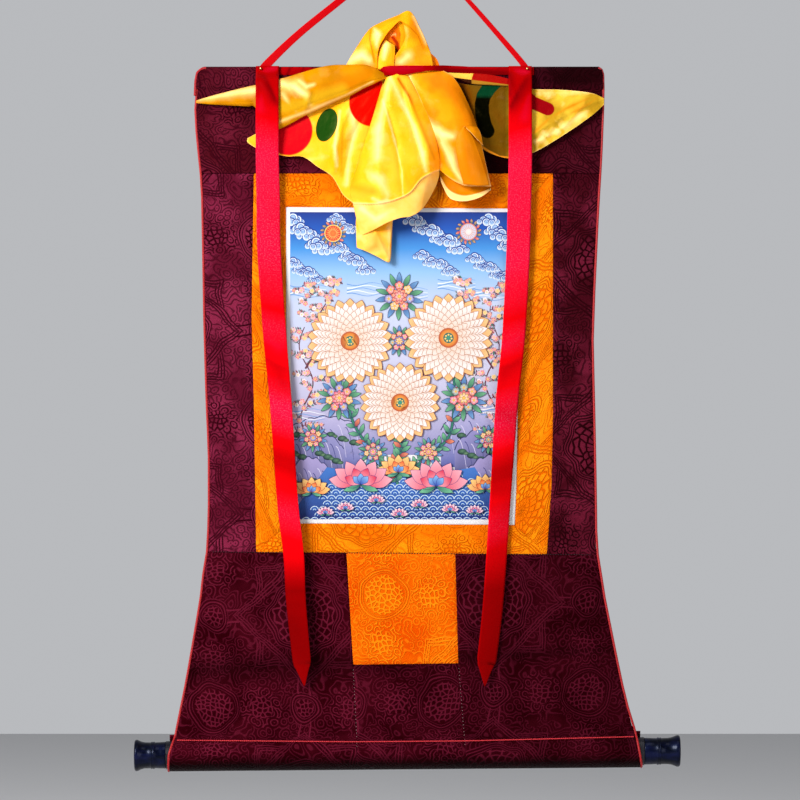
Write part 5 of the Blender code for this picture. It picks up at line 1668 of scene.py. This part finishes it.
def front_hem(u, v):
    """The pale turned-up hem, a painted highlight along its fold, and its stitches."""
    stitched = 0.5 * bump(v - HEM_FOLD_SHARE - 0.012, 0.006) * (np.sin(u * 260) > 0)
    return 0.4 * np.clip((v - HEM_FOLD_SHARE) * 60, 0, 1) + 0.7 * bump(v - HEM_FOLD_SHARE, 0.007) + stitched


# The lip's pale hem and a painted highlight along its fold
def lip_hem(u, v):
    return 1.0 * np.clip((v - 0.66) * 20, 0, 1) + 0.6 * bump(v - 0.7, 0.03)


def add_veil(looks):
    """One silk cloth, tied at the head: each leaf is a fold of it that leaves the gather."""
    silk, inner = looks["silk"], looks["silk_inner"]
    leaves = [
        ("veil_left", ribbed(LEFT_LEAF, LEFT_CREASES), 100, 100, looks["silk_left"], LEFT_PAINTED_LIGHT, shiny_edges),
        ("veil_front", ribbed(FRONT, FRONT_CREASES, hem_shape), 120, 170, silk, FRONT_PAINTED_LIGHT, front_hem),
        ("veil_fall", ribbed(RIGHT_FALL, FALL_CREASES), 90, 100, looks["silk_fall"], FALL_PAINTED_LIGHT, shiny_edges),
        ("veil_lip", ribbed(LIP), 50, 30, inner, (), lip_hem),
        ("veil_panel", ribbed(PANEL), 30, 44, inner, (), None),
        ("veil_corner", ribbed(CORNER), 20, 24, looks["silk_fall"], (), shiny_edges),
        ("veil_tail", ribbed(TAIL, TAIL_CREASES), 60, 60, looks["silk_tail"], TAIL_PAINTED_LIGHT, shiny_edges),
        ("veil_hood", ribbed(HOOD), 160, 30, looks["silk_hood"], HOOD_PAINTED_LIGHT, None),
        ("veil_hood_back", ribbed(HOOD_BACK), 60, 60, looks["silk_hollow"], HOLLOW_PAINTED_LIGHT, None),
        ("veil_hood_flap", ribbed(HOOD_FLAP), 8, 12, looks["silk_hollow"], (), None),
        ("veil_inner_fold", ribbed(INNER_FOLD), 30, 30, silk, INNER_PAINTED_LIGHT, None),
        ("veil_roll", rolled(ROLLED_SIDE, ROLL_CREASES, roll_shape), 60, 200, looks["silk_roll"],
         ROLL_PAINTED_LIGHT, None),
        ("veil_wing", rolled(WING, WING_CREASES), 80, 150, looks["silk_wing"], WING_PAINTED_LIGHT, shiny_edges),
        ("veil_wing_top", rolled(WING_TOP), 8, 60, looks["silk_top"], (), None),
    ]
    for name, surface, columns, rows, look, painted_light, hem in leaves:
        piece = cloth(name, np.linspace(0, 1, columns + 1), np.linspace(0, 1, rows + 1), surface, look,
                      SILK_THICK, painted_light=painted_light, hem=hem)
        if name == "veil_front":
            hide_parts("veil")
    ball = bmesh.new()
    bmesh.ops.create_uvsphere(ball, u_segments=96, v_segments=24, radius=1.0)
    centre_x, centre_drop, centre_out = GATHER_CENTRE
    half_x, half_drop, half_out = GATHER_HALF
    for vertex in ball.verts:
        x, y, z = vertex.co
        pleat = 1 + PLEAT_DEPTH * math.sin(PLEATS * math.atan2(z, x))
        place = x * half_x + centre_x, y * half_out * pleat - centre_out, z * half_drop - centre_drop
        vertex.co = Vector(place) * MM
    mesh = bpy.data.meshes.new("veil_gather")
    ball.to_mesh(mesh)
    ball.free()
    mesh.shade_smooth()
    add_piece("veil_gather", mesh, silk)


# The roller's knobs

def add_knobs(looks):
    tilt = math.atan2(AXIS_DROP_LEFT - AXIS_DROP_RIGHT, ROLLER_RIGHT - ROLLER_LEFT)
    for node, start, size, heading in (
        ("knob_left", ROLLER_LEFT - KNOB_GAP, KNOB_LEFT_LENGTH, -1),
        ("knob_right", ROLLER_RIGHT + KNOB_GAP, KNOB_RIGHT_LENGTH, 1),
    ):
        profile = [(0.0, 0.0), *((row.along * size, row.radius) for row in KNOB_PROFILE), (size, 0.0)]
        turn = np.linspace(0, 2 * np.pi, KNOB_SIDES + 1)
        along, radius = np.array(profile).T
        x = start + heading * np.repeat(along, len(turn))
        ring = np.repeat(radius, len(turn))
        spin = np.tile(turn, len(along))
        fall = heading * np.repeat(along, len(turn)) * math.tan(tilt)
        drop = axis_drop(start) - fall - ring * np.cos(spin)
        places = np.stack([x, -heading * ring * np.sin(spin), -drop], axis=1) * MM
        mesh = bpy.data.meshes.new(node)
        mesh.from_pydata(places.tolist(), [], cell_faces(len(turn) - 1, len(along) - 1).tolist())
        shape = bmesh.new()
        shape.from_mesh(mesh)
        bmesh.ops.remove_doubles(shape, verts=shape.verts, dist=1e-6)
        bmesh.ops.recalc_face_normals(shape, faces=shape.faces)
        shape.to_mesh(mesh)
        shape.free()
        mesh.shade_smooth()
        piece = add_piece(node + "_turned", mesh, looks["lacquer"])
        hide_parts(node)


# The stage

FLOOR_MIDDLE = (0, 0.5, -1.32)


def add_stage():
    """A pale floor, a soft grey room that is brighter behind the scroll, and soft lights in front of it."""
    scene = bpy.context.scene
    scene.view_settings.view_transform = "Standard"
    bpy.ops.mesh.primitive_plane_add(size=1, location=FLOOR_MIDDLE)
    floor = bpy.context.object
    floor.name = "floor"
    floor.scale = (9, 7, 1)
    floor.data.materials.append(new_material("floor_finish", 0.9, Base_Color=(0.66, 0.66, 0.67, 1.0))[0])
    world = bpy.data.worlds.new("studio")
    world.use_nodes = True
    tree = world.node_tree
    heading = tree.nodes.new("ShaderNodeTexCoord")
    split = tree.nodes.new("ShaderNodeSeparateXYZ")
    tree.links.new(heading.outputs["Generated"], split.inputs[0])
    behind = Field(tree, split.outputs[1]).above(0.45, 1.2)
    room = blend(tree, behind, (0.15, 0.155, 0.165, 1), (0.5, 0.51, 0.53, 1))
    tree.links.new(room, tree.nodes["Background"].inputs[0])
    scene.world = world
    for name, place, size, power in (
        ("key", (-2.1, -2.4, 0.8), 1.2, 235), ("fill", (2.2, -2.6, -0.4), 1.6, 36),
        ("top", (0.3, -0.9, 1.2), 0.9, 8),
    ):
        light = bpy.data.lights.new(name, "AREA")
        light.energy = power
        light.size = size
        lamp = bpy.data.objects.new(name, light)
        lamp.location = place
        aim = Vector((0, 0, -0.5)) - Vector(place)
        lamp.rotation_euler = aim.to_track_quat("-Z", "Y").to_euler()
        scene.collection.objects.link(lamp)
    camera = bpy.data.cameras.new("camera")
    camera.lens = camera.sensor_width * VIEW_DISTANCE / VIEW_WIDTH
    camera.clip_end = 100
    viewer = bpy.data.objects.new("camera", camera)
    viewer.location = Vector((VIEW_CENTRE_X, -VIEW_DISTANCE, -VIEW_CENTRE_DROP)) * MM
    viewer.rotation_euler = (math.pi / 2, 0, 0)
    scene.collection.objects.link(viewer)
    scene.camera = viewer


def make_looks():
    wine, wine_line = (srgb(96, 18, 40), srgb(138, 38, 68)), srgb(44, 0, 8)
    # The right strip's damask is the left strip's made darker: painted shade
    wine_in_shade = (srgb(68, 9, 22), srgb(110, 26, 48)), srgb(28, 0, 3)
    head = (srgb(80, 13, 26), srgb(106, 24, 44)), srgb(44, 0, 10)
    # The foot's damask is the strips' cloth with a darker ground and lines lighter than it: painted shade on
    # the ground and a painted sheen on the lines
    deep, deep_line = (srgb(46, 0, 7), srgb(66, 5, 18)), srgb(108, 24, 46)
    gold, gold_line = (srgb(268, 126, 5), srgb(276, 158, 14)), srgb(236, 98, 0)
    door = (srgb(242, 82, 0), srgb(254, 106, 3)), srgb(282, 150, 16)
    # The fall, roll, inner, hollow and wing bases are the same silk made darker and oranger: painted shade
    fall = (0.58, 0.15, 0.0, 1), (0.72, 0.235, 0.001, 1)
    tail = SILK_MID, (0.86, 0.44, 0.09, 1.0)
    roll = (0.35, 0.119, 0.0, 1), (0.45, 0.17, 0.0, 1)
    inner = (0.52, 0.135, 0.0, 1), (0.56, 0.16, 0.0, 1)
    hollow = (0.7, 0.07, 0.0, 1), (0.92, 0.18, 0.0, 1)
    wing = (0.34, 0.18, 0.007, 1), (0.57, 0.35, 0.025, 1)
    wing_top = (0.5, 0.25, 0.02, 1), (0.7, 0.38, 0.05, 1)
    return {
        "damask": brocade("damask", 0.0, wine, wine_line, 0.75, 0.5, -1.0, 0.3),
        "damask_right": brocade("damask_right", 0.0, *wine_in_shade, 0.75, 0.5, -1.0, 0.3),
        "damask_head": brocade("damask_head", 5.0, *head, 0.8, 0.5, -0.8, 0.3, painted_shade=painted_shade_head),
        "damask_foot": brocade("damask_foot", 2.0, deep, deep_line, 0.6, 0.6, 0.8, 0.1, painted_shade=painted_shade_foot),
        "saffron": brocade("saffron", 9.0, gold, gold_line, 0.6, 0.5, -1.1, 0.25, 1.4),
        "saffron_door": brocade("saffron_door", 9.0, *door, 0.6, 0.5, 1.0, 0.25, 1.4),
        "canvas": canvas_weave(), "paint": paint(),
        "red_satin": red_satin("red_satin", srgb(184, 0, 2), srgb(252, 14, 58), 1.0),
        "red_band": red_satin("red_band", srgb(176, 0, 6), srgb(200, 10, 30), 0.0),
        "red_loop": red_satin("red_loop", srgb(206, 10, 18), srgb(230, 20, 30), 0.0),
        "silk": yellow_silk("silk"),
        "silk_fall": yellow_silk("silk_fall", base=fall, crumple_and_sheen=0.4),
        "silk_tail": yellow_silk("silk_tail", base=tail, crumple_and_sheen=1.2),
        "silk_left": yellow_silk("silk_left", left_spots, gloss=0.06),
        "silk_roll": yellow_silk("silk_roll", roll_spots, roll, 0.35, 0.1),
        "silk_inner": yellow_silk("silk_inner", base=inner, crumple_and_sheen=0.15),
        "silk_hollow": yellow_silk("silk_hollow", hollow_spots, hollow, crumple_and_sheen=0.4),
        "silk_hood": yellow_silk("silk_hood", base=(SILK_DEEP, SILK_MID), crumple_and_sheen=0.4),
        "silk_wing": yellow_silk("silk_wing", wing_spots, wing, 1.6, 0.03),
        "silk_top": yellow_silk("silk_top", top_spots, wing_top, gloss=0.1),
        "lacquer": lacquer(), "wood": plain("wood", srgb(20, 18, 30), 0.4),
        "gilt": plain("gilt", srgb(246, 210, 130), 0.28, 1.0),
        "piping": plain("piping", srgb(206, 20, 28), 0.6, grain=1.4, strength=0.8),
        "fray": plain("fray", srgb(200, 24, 36), 0.7, grain=1.6, strength=0.8),
        "red_thread": plain("red_thread", srgb(244, 48, 62), 0.6, grain=1.0),
        "pale_thread": plain("pale_thread", srgb(196, 150, 150), 0.7, grain=1.0),
        "dark_thread": plain("dark_thread", srgb(34, 2, 10), 0.8, grain=1.0),
    }


def dress_nodes(looks):
    """The solids whose shape is right keep it and take a better finish."""
    for node, look in (
        ("roller", "wood"), ("pin_left", "gilt"), ("pin_right", "gilt"), ("piping_left", "piping"),
        ("piping_right", "piping"), ("piping_roller", "red_thread"),
    ):
        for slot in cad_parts[node].material_slots:
            slot.material = looks[look]


def main():
    looks = make_looks()
    add_stage()
    dress_nodes(looks)
    add_head(looks)
    add_upper_panels(looks)
    add_feet(looks)
    add_seams(looks)
    add_fray(looks)
    add_picture(looks)
    add_ribbons(looks)
    add_veil(looks)
    add_knobs(looks)


main()
